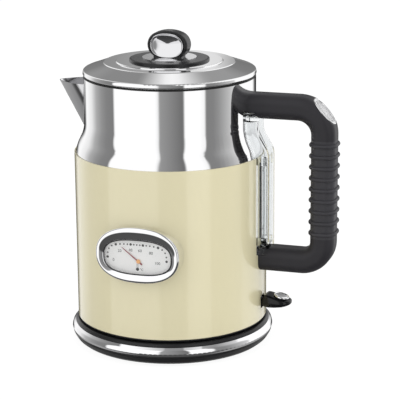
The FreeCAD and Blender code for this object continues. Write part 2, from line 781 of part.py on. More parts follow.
def make_jacket():
    jacket = tube(body_radius, shell_inner, jacket_bottom, jacket_top)
    jacket = jacket.cut(gauge_seal_block(shell_inner - 1, body_radius + 1, seal_border))
    jacket = jacket.cut(bar(probe_radius, point(0, -body_radius - 1, pivot_z),
                            point(0, -neck_radius, pivot_z)))
    slot = lever_half_width + 0.9
    reach = body_radius - lever_pivot_x
    drop = math.radians(lever_travel)
    lowest = lever_pivot_z - reach * math.sin(drop) - (lever_pivot_z - stem_bottom) * math.cos(drop)
    jacket = jacket.cut(block(neck_radius, body_radius + 1, -slot, slot, lowest - 0.4, stem_top + 0.6))
    keep("jacket", jacket)


# ---- Spout filter ----
def neck_sector(outer, inner, z0, z1, half_angle):
    wedge = Part.makeCylinder(outer, z1 - z0, point(0, 0, z0), Z, 2 * half_angle)
    wedge = wedge.cut(disc(inner, z0 - 1, z1 + 1))
    wedge.rotate(ORIGIN, Z, 180 - half_angle)
    return wedge


def make_filter():
    outer = neck_inner - moving_gap
    inner = outer - filter_frame_depth
    top = spout_top - 1.0
    border_angle = math.degrees(filter_frame_border / outer)
    window_angle = filter_half_angle - border_angle
    window = neck_sector(outer + 1, inner - 1, filter_bottom + filter_frame_border,
                         top - filter_frame_border, window_angle)
    frame = neck_sector(outer, inner, filter_bottom, top, filter_half_angle)
    bars = neck_sector(inner + 0.7, inner, filter_bottom + filter_frame_border,
                       top - filter_frame_border, 1.2)
    keep("filter_frame", frame.cut(window).fuse(bars).removeSplitter())
    middle = inner + 0.7
    keep("filter_mesh", neck_sector(middle + filter_mesh_depth, middle, filter_bottom + filter_frame_border,
                                    top - filter_frame_border, window_angle))


# ---- Handle ----
def handle_form(inset):
    """Whole C of the handle, its section shrunk by an inset."""
    depth = handle_half_depth - inset
    width = handle_half_width - inset
    corner = max(handle_corner - inset, 1.0)
    start = neck_radius - 6
    upper = rounded_section(point(start, 0, upper_arm_height), Z, depth, width, corner)
    upper_end = rounded_section(point(upper_bend_x, 0, upper_arm_height), Z, depth, width, corner)
    grip = rounded_section(point(grip_reach, 0, upper_bend_z), X, depth, width, corner)
    grip_end = rounded_section(point(grip_reach, 0, lower_bend_z), X, depth, width, corner)
    lower = rounded_section(point(lower_bend_x, 0, lower_arm_height), Z, depth, width, corner)
    pieces = [
        upper.extrude(X * (upper_bend_x - start)),
        upper_end.revolve(point(upper_bend_x, 0, upper_bend_z), Y, 90),
        grip.extrude(Z * (lower_bend_z - upper_bend_z)),
        grip_end.revolve(point(lower_bend_x, 0, lower_bend_z), Y, 90),
        lower.extrude(X * (start - lower_bend_x))]
    return union(pieces)


def grip_band(offset, z0, z1):
    """Rounded block round the grip, larger or smaller than its section by an offset."""
    section = rounded_section(point(grip_reach, 0, z0), X, handle_half_depth + offset,
                              handle_half_width + offset, handle_corner + offset)
    return section.extrude(Z * (z1 - z0))


def badge_oval(half_length, half_width, bottom, top):
    """Oval block on the badge's slanted face, between two depths along its normal."""
    normal = point(math.cos(math.radians(badge_angle)), 0, math.sin(math.radians(badge_angle)))
    centre = point(badge_reach_x, 0, badge_reach_z).add(normal * bottom)
    ellipse = Part.Ellipse(point(0, 0, 0), half_length, half_width).toShape()
    solid = Part.Face(Part.Wire(ellipse)).extrude(Z * (top - bottom))
    solid.rotate(ORIGIN, Y, 90 - badge_angle)
    solid.translate(centre)
    return solid


def joining_screw_places():
    arm_x = body_radius + joining_screw_reach
    return [(arm_x, upper_arm_height), (grip_reach, upper_bend_z + 4.0),
            (grip_reach, lower_bend_z - 2.0), (arm_x, lower_arm_height)]


def make_handle():
    outer = handle_form(0)
    inside = handle_form(handle_wall)
    body = body_form()
    outer = outer.cut(body)
    far = 60.0
    outer = outer.cut(badge_oval(far, far, 0, far))
    outer = outer.cut(badge_oval(badge_length / 2, badge_width / 2, -badge_pocket, 1))
    outer = outer.cut(grip_band(2, sleeve_bottom, sleeve_top).cut(grip_band(-sleeve_wall, sleeve_bottom,
                                                                            sleeve_top)))
    roof = badge_oval(far, far, -badge_pocket - handle_wall, far)
    inside = inside.cut(roof)
    half = handle_half_width
    bosses = [bar(joining_boss_radius, point(x, -half + 1.5, z), point(x, half - 1.5, z))
              for x, z in joining_screw_places()]
    inside = inside.cut(bosses)
    shell = outer.cut(inside)
    head_y = half - 3.0
    screws = []
    for x, z in joining_screw_places():
        shank = bar(joining_screw_radius, point(x, -half + 3.5, z), point(x, head_y - 1.6, z))
        head = bar(joining_screw_head, point(x, head_y - 1.6, z), point(x, head_y, z))
        slot = block(x - 0.4, x + 0.4, head_y - 0.8, head_y + 1, z - 2, z + 2)
        screws.append(shank.fuse(head.cut(slot)))
        shell = shell.cut([shank, bar(joining_screw_head, point(x, head_y - 1.6, z), point(x, half + 1, z))])
    keep("handle_joining_screws", Part.makeCompound(screws))

    bracket_screws = []
    for node, height, reach in (("handle_bracket_upper", upper_arm_height, neck_radius),
                                ("handle_bracket_lower", lower_arm_height, body_radius)):
        screw_x = reach + bracket_screw_reach
        arm_bottom = height - handle_half_depth
        head_top = arm_bottom + 2.0
        shank = disc(bracket_screw_radius, head_top, height, screw_x, 0)
        head = disc(bracket_screw_head, arm_bottom + 0.4, head_top, screw_x, 0)
        slot = block(screw_x - 2.4, screw_x + 2.4, -0.5, 0.5, arm_bottom, arm_bottom + 1.2)
        bracket_screws.append(head.cut(slot).fuse(shank))
        bracket = block(reach - 8, reach + bracket_length, -bracket_half_width, bracket_half_width,
                        height - bracket_half_height, height + bracket_half_height)
        keep(node, bracket.cut(body).cut(shank))
        boss = disc(bracket_screw_head + 2.0, arm_bottom + 1.0, height - bracket_half_height, screw_x, 0)
        shell = shell.fuse(boss.common(handle_form(0)))
        shell = shell.cut([shank, disc(bracket_screw_head, arm_bottom - 1, head_top, screw_x, 0)])
    keep("handle_bracket_screws", Part.makeCompound(bracket_screws))

    big = block(0, 2 * grip_reach, -50, 0, 0, rim_top)
    keep("handle_left_half", shell.common(big).removeSplitter())
    keep("handle_right_half", shell.cut(big).removeSplitter())

    sleeve = grip_band(0, sleeve_bottom, sleeve_top)
    ribs = []
    for i in range(rib_count):
        middle = sleeve_bottom + rib_start + i * rib_pitch
        rib = grip_band(rib_proud, middle - rib_height / 2, middle + rib_height / 2)
        flat_edges = [e for e in rib.Edges if e.BoundBox.ZLength < 1e-6]
        ribs.append(rib.makeFillet(min(rib_proud, rib_height / 2) * 0.9, flat_edges))
    sleeve = sleeve.fuse(ribs).cut(grip_band(-sleeve_wall, sleeve_bottom - 5, sleeve_top + 5))
    keep("grip_sleeve", sleeve.removeSplitter())

    rim_outer = badge_oval(badge_length / 2, badge_width / 2, -badge_pocket, badge_thickness - badge_pocket)
    plate_half_length = badge_length / 2 - badge_rim_width
    plate_half_width = badge_width / 2 - badge_rim_width
    keep("badge_rim", rim_outer.cut(badge_oval(plate_half_length, plate_half_width, -badge_pocket - 1, 5)))
    keep("badge_plate", badge_oval(plate_half_length, plate_half_width, -badge_pocket,
                                   badge_thickness - badge_pocket - 0.4))


# ---- Water gauge ----
def window_form(inset, lap):
    """Rounded moulding over the gauge: upright, then following the shoulder to the neck."""
    top = upper_arm_bottom + lap
    bottom = lower_arm_top - lap
    inside = neck_radius - 8
    reach, neck_reach = window_reach - inset, window_neck_reach - inset
    form = side_plate([(inside, bottom), (reach, bottom),
                       (reach, jacket_top + window_bend_rise - inset * 0.3, window_bend),
                       (neck_reach, shoulder_top - window_bend_drop - inset * 0.3, window_bend),
                       (neck_reach, top), (inside, top)], window_half_width - inset)
    front_edges = [e for e in form.Edges if e.BoundBox.YLength < 1e-6 and e.BoundBox.ZLength > 1e-6
                   and e.BoundBox.XMin > inside + 1]
    return form.makeFillet(window_corner - inset, front_edges)


def make_water_gauge():
    body = body_form()
    outer = window_form(0, window_arm_lap).cut(handle_form(0))
    keep("water_gauge_window", outer.cut(window_form(window_wall, -window_wall)).cut(body).removeSplitter())
    seal = gauge_seal_block(shell_inner, body_radius, seal_border)
    keep("water_gauge_seal", seal.cut(gauge_seal_block(shell_inner - 1, body_radius + 1, 0)))

    half_depth = level_tube_depth / 2
    x = body_radius + level_tube_gap + half_depth
    bottom = lower_arm_top + window_wall
    top = jacket_top + level_block_lift
    bend = half_depth - 0.6

    def bar_form(width, z0, z1):
        section = rounded_section(point(x, 0, z0), X, half_depth, width / 2, bend)
        return section.extrude(Z * (z1 - z0))

    shape = bar_form(level_tube_width, bottom, top)
    shape = shape.fuse([bar_form(level_block_width, bottom, bottom + level_foot_height),
                        bar_form(level_block_width, top - level_block_height, top)])
    ports, bores = [], []
    port_radius = half_depth - 0.3
    bore_radius = port_radius - level_tube_wall
    for z in (gauge_slot_bottom + 5, gauge_slot_top - 5):
        ports.append(bar(port_radius, point(shell_inner - 2, 0, z), point(x, 0, z)))
        bores.append(bar(bore_radius, point(shell_inner - 3, 0, z), point(x, 0, z)))
    half_bore = half_depth - level_tube_wall
    bores.append(block(x - half_bore, x + half_bore, -level_tube_width / 2 + level_tube_wall,
                       level_tube_width / 2 - level_tube_wall, bottom + 2, top - 2))
    keep("level_tube", shape.fuse(ports).cut(bores).removeSplitter())


# ---- Temperature gauge ----
def make_temperature_gauge():
    body = disc(body_radius, pivot_z - 40, pivot_z + 40)
    housing_half_width = bezel_half_width - bezel_wall
    housing_half_height = bezel_half_height - bezel_wall
    housing_end = bezel_end_radius - bezel_wall
    deep = body_radius - 20
    bezel = oval(bezel_half_width, bezel_half_height, bezel_end_radius, bezel_face, deep, dial_centre_z)
    front_edges = [e for e in bezel.Edges if abs(e.BoundBox.YMax + bezel_face) < 1e-6]
    bezel = bezel.makeFillet(1.0, front_edges)
    slope = Part.makeLoft([
        oval_wire(opening_half_width + bezel_slope_width, opening_half_height + bezel_slope_width,
                  opening_end_radius + bezel_slope_width, -bezel_face, opening_centre_z),
        oval_wire(opening_half_width, opening_half_height, opening_end_radius,
                  -bezel_face + bezel_slope_depth, opening_centre_z)], True, True)
    bezel = bezel.cut(slope)
    bezel = bezel.cut([
        oval(housing_half_width, housing_half_height, housing_end, lens_front, deep - 1, dial_centre_z),
        oval(opening_half_width, opening_half_height, opening_end_radius, bezel_face + 1, deep,
             opening_centre_z),
        body])
    keep("gauge_bezel", bezel)

    recess = oval(opening_half_width + dial_border, opening_half_height + dial_border,
                  opening_end_radius + dial_border, lens_front + 1, dial_back, opening_centre_z)
    axis_hole = bar(probe_radius, point(0, -lens_front, pivot_z), point(0, -deep, pivot_z))
    housing = oval(housing_half_width, housing_half_height, housing_end, lens_front, deep, dial_centre_z)
    keep("gauge_housing", housing.cut([recess, axis_hole, body]))

    spindle_hole = bar(spindle_radius + moving_gap, point(0, -bezel_face, pivot_z), point(0, -deep, pivot_z))
    dial = oval(opening_half_width + dial_border, opening_half_height + dial_border,
                opening_end_radius + dial_border, dial_front, dial_back, opening_centre_z)
    keep("gauge_dial", dial.cut(spindle_hole))
    keep("gauge_lens", oval(opening_half_width + dial_border, opening_half_height + dial_border,
                            opening_end_radius + dial_border, lens_front, lens_front - lens_thickness,
                            opening_centre_z))

    front = point(0, -dial_back, pivot_z)
    probe = bar(probe_radius, front, point(0, -probe_inner_end, pivot_z))
    bore = bar(probe_radius - probe_wall, front, point(0, -probe_inner_end - probe_wall, pivot_z))
    keep("gauge_probe", probe.cut(bore))
    coil_back = probe_inner_end + probe_wall
    coil = bar(coil_radius, point(0, -coil_back - coil_length, pivot_z), point(0, -coil_back, pivot_z))
    keep("gauge_bimetal_coil", coil.cut(bar(coil_radius - coil_wall,
                                            point(0, -coil_back - coil_length, pivot_z),
                                            point(0, -coil_back, pivot_z))))
    wall_inner = disc(vessel_inner, pivot_z - 20, pivot_z + 20)
    seal_back = vessel_inner - probe_seal_thickness
    seal = bar(probe_nut_radius, point(0, -vessel_inner - 1, pivot_z), point(0, -seal_back, pivot_z))
    keep("gauge_probe_seal", seal.common(wall_inner).cut(probe))
    nut_section = Part.makePolygon([
        point(probe_nut_radius * math.cos(math.radians(a)), -seal_back,
              pivot_z + probe_nut_radius * math.sin(math.radians(a))) for a in range(0, 361, 60)])
    nut = Part.Face(Part.Wire(nut_section)).extrude(Y * probe_nut_thickness)
    keep("gauge_probe_nut", nut.cut(probe))


def make_needle():
    turn = math.radians(needle_rest_angle)
    along = point(math.cos(turn), 0, math.sin(turn))
    across = point(-math.sin(turn), 0, math.cos(turn))
    pivot = point(0, -needle_front, pivot_z)
    half = needle_width / 2
    corners = [pivot.add(along * -needle_tail).add(across * half),
               pivot.add(along * (needle_length - 3)).add(across * half * 0.8),
               pivot.add(along * needle_length),
               pivot.add(along * (needle_length - 3)).add(across * -half * 0.8),
               pivot.add(along * -needle_tail).add(across * -half)]
    pointer = Part.Face(Part.makePolygon(corners + corners[:1])).extrude(Y * needle_thickness)
    hub = bar(needle_hub_radius, point(0, -needle_front - 0.3, pivot_z), point(0, -needle_back, pivot_z))
    keep("gauge_needle", pointer.fuse(hub).removeSplitter())
    keep("gauge_spindle", bar(spindle_radius, point(0, -needle_back, pivot_z),
                              point(0, -spindle_inner_end, pivot_z)))


# ---- Switch lever ----
def make_lever():
    slope = math.tan(math.radians(paddle_slope))
    root = paddle_peak_x - 3.0
    tip_bottom = lever_pivot_z + paddle_tip_rise - paddle_tip_height / 2
    tip_top = tip_bottom + paddle_tip_height
    pad_z = tip_top + (paddle_end - pad_centre_x) * slope
    paddle_side = side_plate([
        (root, stem_bottom), (paddle_end - 10.5, stem_bottom - 0.3, 10.0), (paddle_end, tip_bottom, 0.8),
        (paddle_end, tip_top, 0.8), (pad_centre_x - 7.0, pad_z + 7.0 * slope, 10.0),
        (paddle_peak_x, paddle_peak_z, 1.2), (root, stem_top - 0.8)], paddle_radius)
    centre = paddle_end - paddle_radius
    plan = disc(paddle_radius, 0, 2 * upstand_top, centre, 0)
    neck = Part.makePolygon([point(root - 0.5, -lever_half_width, 0),
                             point(centre, -paddle_radius, 0), point(centre, paddle_radius, 0),
                             point(root - 0.5, lever_half_width, 0),
                             point(root - 0.5, -lever_half_width, 0)])
    plan = plan.fuse(Part.Face(Part.Wire(neck)).extrude(Z * (2 * upstand_top)))
    paddle = paddle_side.common(plan)
    shield_x = shell_inner - shield_setback
    half = lever_half_width
    stem = block(shield_x - 1, root + 1.0, -half, half, stem_bottom, stem_top - 0.8)
    slot_inside = side_plate([(lever_pivot_x - 1, lever_pivot_z - lever_hub_radius),
                              (shield_x, stem_bottom), (shield_x, stem_top - 1),
                              (lever_pivot_x - 1, lever_pivot_z + lever_hub_radius)], half)
    stem = stem.fuse(slot_inside)
    hub = bar(lever_hub_radius, point(lever_pivot_x, -half, lever_pivot_z),
              point(lever_pivot_x, half, lever_pivot_z))
    shield = block(shield_x - shield_thickness, shield_x, -shield_half_width, shield_half_width,
                   lever_pivot_z - shield_drop, stem_top + 2.4)
    trip_arm_bottom = lever_pivot_z - trip_arm_drop
    trip_arm = block(control_radius + trip_arm_lap, lever_pivot_x, -half + 1, half - 1, trip_arm_bottom,
                     trip_arm_bottom + trip_arm_height)
    lever = paddle.fuse([stem, hub, shield, trip_arm])
    pin_hole = bar(lever_pin_radius + running_fit, point(lever_pivot_x, -20, lever_pivot_z),
                   point(lever_pivot_x, 20, lever_pivot_z))
    tilt = point(math.sin(math.radians(paddle_slope)), 0, math.cos(math.radians(paddle_slope)))
    ellipse = Part.Ellipse(ORIGIN, pad_half_length, pad_half_width).toShape()
    pad = Part.Face(Part.Wire(ellipse)).extrude(Z * (pad_thickness + 0.6))
    pad.rotate(ORIGIN, Y, paddle_slope)
    pad.translate(point(pad_centre_x, 0, pad_z).sub(tilt * 0.6))
    keep("switch_lever", lever.cut([pin_hole, pad]).removeSplitter())
    keep("lever_pad", pad)


# ---- Lid and knob ----
def make_lid():
    rim_high = lid_bottom + lid_rim_height
    screw_hole = knob_screw_radius
    inner_step = lid_step_height + lid_inner_step_rise
    top = [(lid_radius - 1.2, lid_bottom), (lid_radius, lid_bottom + 1.4, 1.0),
           (lid_radius - 0.4, rim_high, 1.2), (lid_step_radius + 0.6, lid_step_height, 0.4),
           (lid_step_radius, inner_step, 0.2), (lid_inner_step_radius + 0.6, inner_step + 0.1, 0.2),
           (lid_inner_step_radius, lid_top, 0.2), (screw_hole, lid_top)]
    under = [(screw_hole, lid_top - lid_wall), (lid_inner_step_radius - 1, lid_top - lid_wall),
             (lid_step_radius - 1, inner_step - lid_wall), (lid_radius - 2.0, rim_high - lid_wall - 0.4),
             (lid_radius - lid_wall - 0.6, lid_bottom + lid_wall), (lid_plug_radius, lid_bottom + lid_wall),
             (lid_plug_radius, lid_bottom)]
    keep("lid_cover", turned(top + under))

    plug_inner = lid_plug_radius - lid_plug_wall
    keep("lid_plug", turned([
        (0, lid_plug_bottom), (lid_plug_radius, lid_plug_bottom, 1.0), (lid_plug_radius, lid_plug_top - 1),
        (plug_inner, lid_plug_top - 1), (plug_inner, lid_plug_bottom + lid_plug_wall),
        (0, lid_plug_bottom + lid_plug_wall)]))
    keep("lid_gasket", turned([
        (lid_plug_radius, gasket_lip_bottom), (lid_plug_radius + gasket_lip, gasket_lip_bottom + 1.5, 0.5),
        (lid_plug_radius + gasket_lip, gasket_bottom), (lid_plug_radius + gasket_flange, gasket_bottom),
        (lid_plug_radius + gasket_flange, lid_bottom), (lid_plug_radius, lid_bottom)]))

    disc_shape = turned([(knob_screw_radius, lid_top), (knob_disc_radius, lid_top),
                         (knob_disc_radius, knob_disc_top - 0.2, 0.8),
                         (knob_disc_radius - 1.5, knob_disc_top, 0.5), (knob_screw_radius, knob_disc_top)])
    keep("knob_disc", disc_shape)

    def knob_oval(half_width, half_height, front, back):
        return oval(half_width, half_height, half_height * 0.9, front, back, knob_centre_z)

    knob = knob_oval(knob_half_width, knob_half_height, knob_half_depth, -knob_half_depth)
    foot = block(-knob_foot_half_width, knob_foot_half_width, -knob_half_depth, knob_half_depth,
                 knob_disc_top, knob_centre_z)
    foot = foot.makeFillet(knob_round, [e for e in foot.Edges if e.BoundBox.ZLength > 5])
    knob = knob.makeFillet(knob_round, [e for e in knob.Edges if e.BoundBox.YLength < 1e-6])
    below = block(-50, 50, -50, 50, 0, knob_disc_top)
    knob = knob.fuse(foot.common(block(-50, 50, -50, 50, knob_disc_top, knob_centre_z - 6.0))).cut(below)
    keep("knob_dish", disc(knob_dish_radius, knob_disc_top, knob_disc_top + knob_dish_height).cut(knob))

    plates = []
    plate_back = knob_half_depth - knob_plate_thickness
    hollow_back = knob_half_depth - knob_plate_hollow
    for front, back, hollow in ((knob_half_depth, plate_back, hollow_back),
                                (-plate_back, -knob_half_depth, -knob_half_depth)):
        plate = knob_oval(knob_plate_half_width, knob_plate_half_height, front, back)
        knob = knob.cut(plate)
        inner = knob_oval(knob_plate_half_width - knob_plate_rim, knob_plate_half_height - knob_plate_rim,
                          hollow + knob_plate_hollow, hollow)
        plates.append(plate.cut(inner))
    keep("knob_plates", Part.makeCompound(plates))
    shank = disc(knob_screw_radius, lid_top - lid_wall, knob_disc_top + knob_screw_reach)
    keep("knob_body", knob.cut(shank).removeSplitter())
    head = disc(knob_screw_head, lid_top - lid_wall - knob_screw_depth, lid_top - lid_wall)
    slot = block(-3, 3, -0.5, 0.5, lid_top - lid_wall - knob_screw_depth - 1,
                 lid_top - lid_wall - knob_screw_depth + 0.9)
    keep("knob_screw", head.cut(slot).fuse(shank))


make_power_base()
make_connector()
make_bottom_cover()
make_heater()
make_control()
make_vessel()
make_jacket()
make_filter()
make_handle()
make_water_gauge()
make_temperature_gauge()
make_needle()
make_lever()
make_lid()

os.makedirs("parts", exist_ok=True)
for name, shape in nodes.items():
    if not shape.isValid() or not shape.Solids:
        raise ValueError(name + " is not a valid solid")
    shape.exportStep("parts/" + name + ".step")
    print(name, len(shape.Solids), round(shape.Volume, 1))
print(len(nodes), "nodes")
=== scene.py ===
import json
import math

import bmesh
import bpy
from mathutils import Matrix, Vector


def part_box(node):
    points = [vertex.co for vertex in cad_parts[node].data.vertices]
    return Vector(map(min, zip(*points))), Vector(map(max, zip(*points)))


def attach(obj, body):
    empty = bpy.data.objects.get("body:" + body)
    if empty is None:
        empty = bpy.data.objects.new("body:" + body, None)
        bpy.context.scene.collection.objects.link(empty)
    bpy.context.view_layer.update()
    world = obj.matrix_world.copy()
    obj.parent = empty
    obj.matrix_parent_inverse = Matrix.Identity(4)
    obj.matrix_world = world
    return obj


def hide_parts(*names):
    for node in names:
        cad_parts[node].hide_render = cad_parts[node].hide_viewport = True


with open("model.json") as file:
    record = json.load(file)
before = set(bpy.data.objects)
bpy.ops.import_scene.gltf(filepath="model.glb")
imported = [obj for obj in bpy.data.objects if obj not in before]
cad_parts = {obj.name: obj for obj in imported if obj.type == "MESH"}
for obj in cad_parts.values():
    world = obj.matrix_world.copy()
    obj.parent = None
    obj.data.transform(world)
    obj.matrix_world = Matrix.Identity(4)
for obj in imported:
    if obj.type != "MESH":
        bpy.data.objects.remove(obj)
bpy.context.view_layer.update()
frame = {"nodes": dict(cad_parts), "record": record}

# Finish, small detail and studio of an electric kettle. Everything is in metres,
# in the model's own frame: +Z up, +X to the handle, -Y out of the dial.

MM = 0.001
nodes = frame["nodes"]


# ---- Node trees written as calls and sums ----
class Wire:
    """An output socket. Sums of wires and numbers add Math nodes."""

    def __init__(self, tree, socket):
        self.tree = tree
        self.socket = socket

    def math(self, operation, *others):
        return self.tree.node("ShaderNodeMath", {"operation": operation},
                              dict(enumerate((self,) + others)))

    def __add__(self, other):
        return self.math("ADD", other)

    def __radd__(self, other):
        return self.math("ADD", other)

    def __mul__(self, other):
        return self.math("MULTIPLY", other)

    def __rmul__(self, other):
        return self.math("MULTIPLY", other)

    def __sub__(self, other):
        return self.math("SUBTRACT", other)

    def __rsub__(self, other):
        return self.tree.node("ShaderNodeMath", {"operation": "SUBTRACT"}, {0: other, 1: self})

    def __truediv__(self, other):
        return self.math("DIVIDE", other)

    def __pow__(self, other):
        return self.math("POWER", other)

    def clamped(self, most=1.0):
        """The same value held between 0 and most."""
        return self.math("MAXIMUM", 0.0).math("MINIMUM", most)

    def out(self, name):
        """Another output of the same node."""
        return Wire(self.tree, self.socket.node.outputs[name])


class Tree:
    """A node tree whose nodes are all made by one method."""

    def __init__(self, tree):
        self.tree = tree
        tree.nodes.clear()

    def node(self, kind, settings=None, inputs=None):
        new = self.tree.nodes.new(kind)
        for key, value in (settings or {}).items():
            if key == "stops":
                self.set_stops(new.color_ramp, value)
            else:
                setattr(new, key, value)
        for key, value in (inputs or {}).items():
            if isinstance(value, Wire):
                self.tree.links.new(value.socket, new.inputs[key])
            else:
                new.inputs[key].default_value = value
        return Wire(self, new.outputs[0]) if new.outputs else new

    def set_stops(self, ramp, stops):
        while len(ramp.elements) < len(stops):
            ramp.elements.new(0.5)
        for element, (place, colour) in zip(ramp.elements, stops):
            element.position = place
            element.color = tuple(colour) + (1.0,) if len(colour) == 3 else colour


class Finish(Tree):
    """A surface finish: one Principled shader and the patterns that feed it."""

    def __init__(self, name, settings):
        self.material = bpy.data.materials.new(name)
        self.material.use_nodes = True
        super().__init__(self.material.node_tree)
        self.place = self.node("ShaderNodeTexCoord").out("Object")
        self.shader = self.node("ShaderNodeBsdfPrincipled", None, settings)
        self.end = self.node("ShaderNodeOutputMaterial", None, {"Surface": self.shader})

    def show(self, shader):
        """Puts another shader on the surface."""
        self.tree.links.new(shader.socket, self.end.inputs["Surface"])

    def feed(self, socket, wire):
        self.tree.links.new(wire.socket, self.shader.socket.node.inputs[socket])

    def stretched(self, x, y, z):
        """Object coordinates scaled along each axis."""
        return self.node("ShaderNodeMapping", None, {"Vector": self.place, "Scale": (x, y, z)})

    def noise(self, scale, detail=3.0, roughness=0.5, place=None):
        return self.node("ShaderNodeTexNoise", None, {
            "Vector": place or self.place, "Scale": scale, "Detail": detail, "Roughness": roughness})

    def mixed(self, factor, first, second):
        wire = self.node("ShaderNodeMix", {"data_type": "RGBA"}, {0: factor, 6: first, 7: second})
        return Wire(self, wire.socket.node.outputs[2])

    def bump(self, height, distance, strength=1.0):
        self.feed("Normal", self.node("ShaderNodeBump", None, {
            "Height": height, "Distance": distance, "Strength": strength}))


def rgba(red, green, blue):
    return (red, green, blue, 1.0)


def shade(colour, factor):
    """A lighter or darker colour of the same hue."""
    return tuple(min(1.0, part * factor) for part in colour[:3]) + (1.0,)


# ---- Finishes ----
def moulded_black(name, colour, roughness, grain, grain_size):
    """Moulded black plastic with a fine spark-eroded grain."""
    finish = Finish(name, {"IOR": 1.5, "Specular IOR Level": 0.35})
    cloud = finish.noise(40.0)
    fine = finish.noise(1.0 / grain_size, 2.0)
    finish.feed("Base Color", finish.mixed(cloud, colour, shade(colour, 1.35)))
    finish.feed("Roughness", roughness - 0.05 + cloud * 0.1)
    finish.bump(fine, grain)
    return finish.material


def cream_enamel():
    """Glossy baked enamel with a faint orange peel under its clear surface."""
    finish = Finish("cream_enamel", {"IOR": 1.5, "Coat Weight": 1.0, "Coat Roughness": 0.03})
    cloud = finish.noise(18.0, 2.0)
    finish.feed("Base Color", finish.mixed(cloud, rgba(0.775, 0.715, 0.470), rgba(0.795, 0.735, 0.490)))
    finish.feed("Roughness", 0.30 + cloud * 0.06)
    finish.bump(finish.noise(420.0, 2.0), 0.00002, 0.35)
    return finish.material


def polished_steel(name, colour, roughness):
    """Mirror-polished steel with hairlines round the axis."""
    finish = Finish(name, {"Metallic": 1.0})
    hairline = finish.noise(60.0, 3.0, 0.6, finish.stretched(1.0, 1.0, 40.0))
    cloud = finish.noise(25.0, 2.0)
    finish.feed("Base Color", finish.mixed(cloud, colour, shade(colour, 1.04)))
    finish.feed("Roughness", roughness + hairline * 0.03)
    return finish.material


def spout_steel():
    """Polished steel with painted shade: greyer towards the neck, and darker (painted shade) and
    rougher on the faces that look into the spout's channel."""
    grey_from, grey_gain = 92 * MM, 36.0  # distance from the axis, and how fast it greys
    channel_shade_gain = -400.0
    finish = Finish("spout_steel", {"Metallic": 1.0})
    normal = finish.node("ShaderNodeNewGeometry").out("Normal")
    facing = finish.node("ShaderNodeSeparateXYZ", None, {0: normal})
    place = finish.node("ShaderNodeSeparateXYZ", None, {0: finish.place})
    # Painted shade in the colour: darker on the faces that look into the spout's channel, and greyer
    # towards the neck.
    painted_channel_shade = (facing.out("Y") * place.out("Y") * channel_shade_gain).clamped()
    painted_neck_shade = ((place.out("X") + grey_from) * grey_gain).clamped()
    outside = finish.mixed(painted_neck_shade, rgba(0.95, 0.95, 0.96), rgba(0.60, 0.60, 0.61))
    finish.feed("Base Color", finish.mixed(painted_channel_shade, outside, rgba(0.26, 0.26, 0.27)))
    finish.feed("Roughness", 0.03 + painted_channel_shade * 0.10 + finish.noise(60.0) * 0.03)
    return finish.material


def plain_metal(name, colour, roughness):
    """Turned or pressed metal that isn't polished."""
    finish = Finish(name, {"Metallic": 1.0})
    grain = finish.noise(900.0, 2.0, 0.6, finish.stretched(1.0, 1.0, 0.15))
    cloud = finish.noise(60.0)
    finish.feed("Base Color", finish.mixed(cloud, shade(colour, 0.8), colour))
    finish.feed("Roughness", roughness + grain * 0.15)
    finish.bump(grain, 0.00003, 0.4)
    return finish.material


def clear_plastic():
    """Water-clear moulding with slight flow marks."""
    finish = Finish("clear_plastic", {"Base Color": rgba(0.95, 0.965, 0.97), "IOR": 1.2,
                                      "Transmission Weight": 1.0})
    flow = finish.noise(30.0, 2.0, 0.5, finish.stretched(1.0, 1.0, 0.2))
    finish.feed("Roughness", 0.01 + flow * 0.05)
    return finish.material


def clear_cover():
    """Thin flat glass: clear, with reflections that grow towards the edge of view."""
    finish = Finish("clear_cover", {"Base Color": rgba(0.95, 0.95, 0.95), "Metallic": 1.0})
    finish.feed("Roughness", 0.01 + finish.noise(30.0, 2.0) * 0.03)
    clear = finish.node("ShaderNodeBsdfTransparent")
    edge_on = finish.node("ShaderNodeLayerWeight", None, {"Blend": 0.5}).out("Facing")
    square_on, gained = 0.03, 0.45
    gloss = square_on + gained * edge_on ** 4.0
    finish.show(finish.node("ShaderNodeMixShader", None, {0: gloss, 1: clear, 2: finish.shader}))
    return finish.material


def filter_screen():
    """Fine pierced sheet: rows of round holes seen through."""
    finish = Finish("pierced_screen", {"Metallic": 1.0, "Base Color": rgba(0.55, 0.55, 0.56)})
    finish.feed("Roughness", 0.28 + finish.noise(400.0) * 0.1)
    parts = finish.node("ShaderNodeSeparateXYZ", None, {0: finish.place})
    pitch, hole = 1.1 * MM, 0.018  # hole: its radius squared, in pitches
    across = (parts.out("Y") / pitch).math("PINGPONG", 0.5) - 0.25
    up = (parts.out("Z") / pitch).math("PINGPONG", 0.5) - 0.25
    finish.feed("Alpha", (across * across + up * up).math("GREATER_THAN", hole))
    return finish.material


def plain_plastic(name, colour, roughness):
    """Smooth coloured plastic with a faint mottle."""
    finish = Finish(name, {"IOR": 1.48})
    cloud = finish.noise(70.0)
    finish.feed("Base Color", finish.mixed(cloud, shade(colour, 0.92), colour))
    finish.feed("Roughness", roughness + cloud * 0.08)
    finish.bump(finish.noise(900.0), 0.00002, 0.3)
    return finish.material


def dull_rubber(name, colour, roughness):
    """Rubber or silicone with a fine dull grain."""
    finish = Finish(name, {"IOR": 1.45})
    cloud = finish.noise(120.0)
    finish.feed("Base Color", finish.mixed(cloud, colour, shade(colour, 1.5)))
    finish.feed("Roughness", roughness + cloud * 0.1)
    finish.bump(finish.noise(1500.0, 2.0), 0.00004, 0.4)
    return finish.material


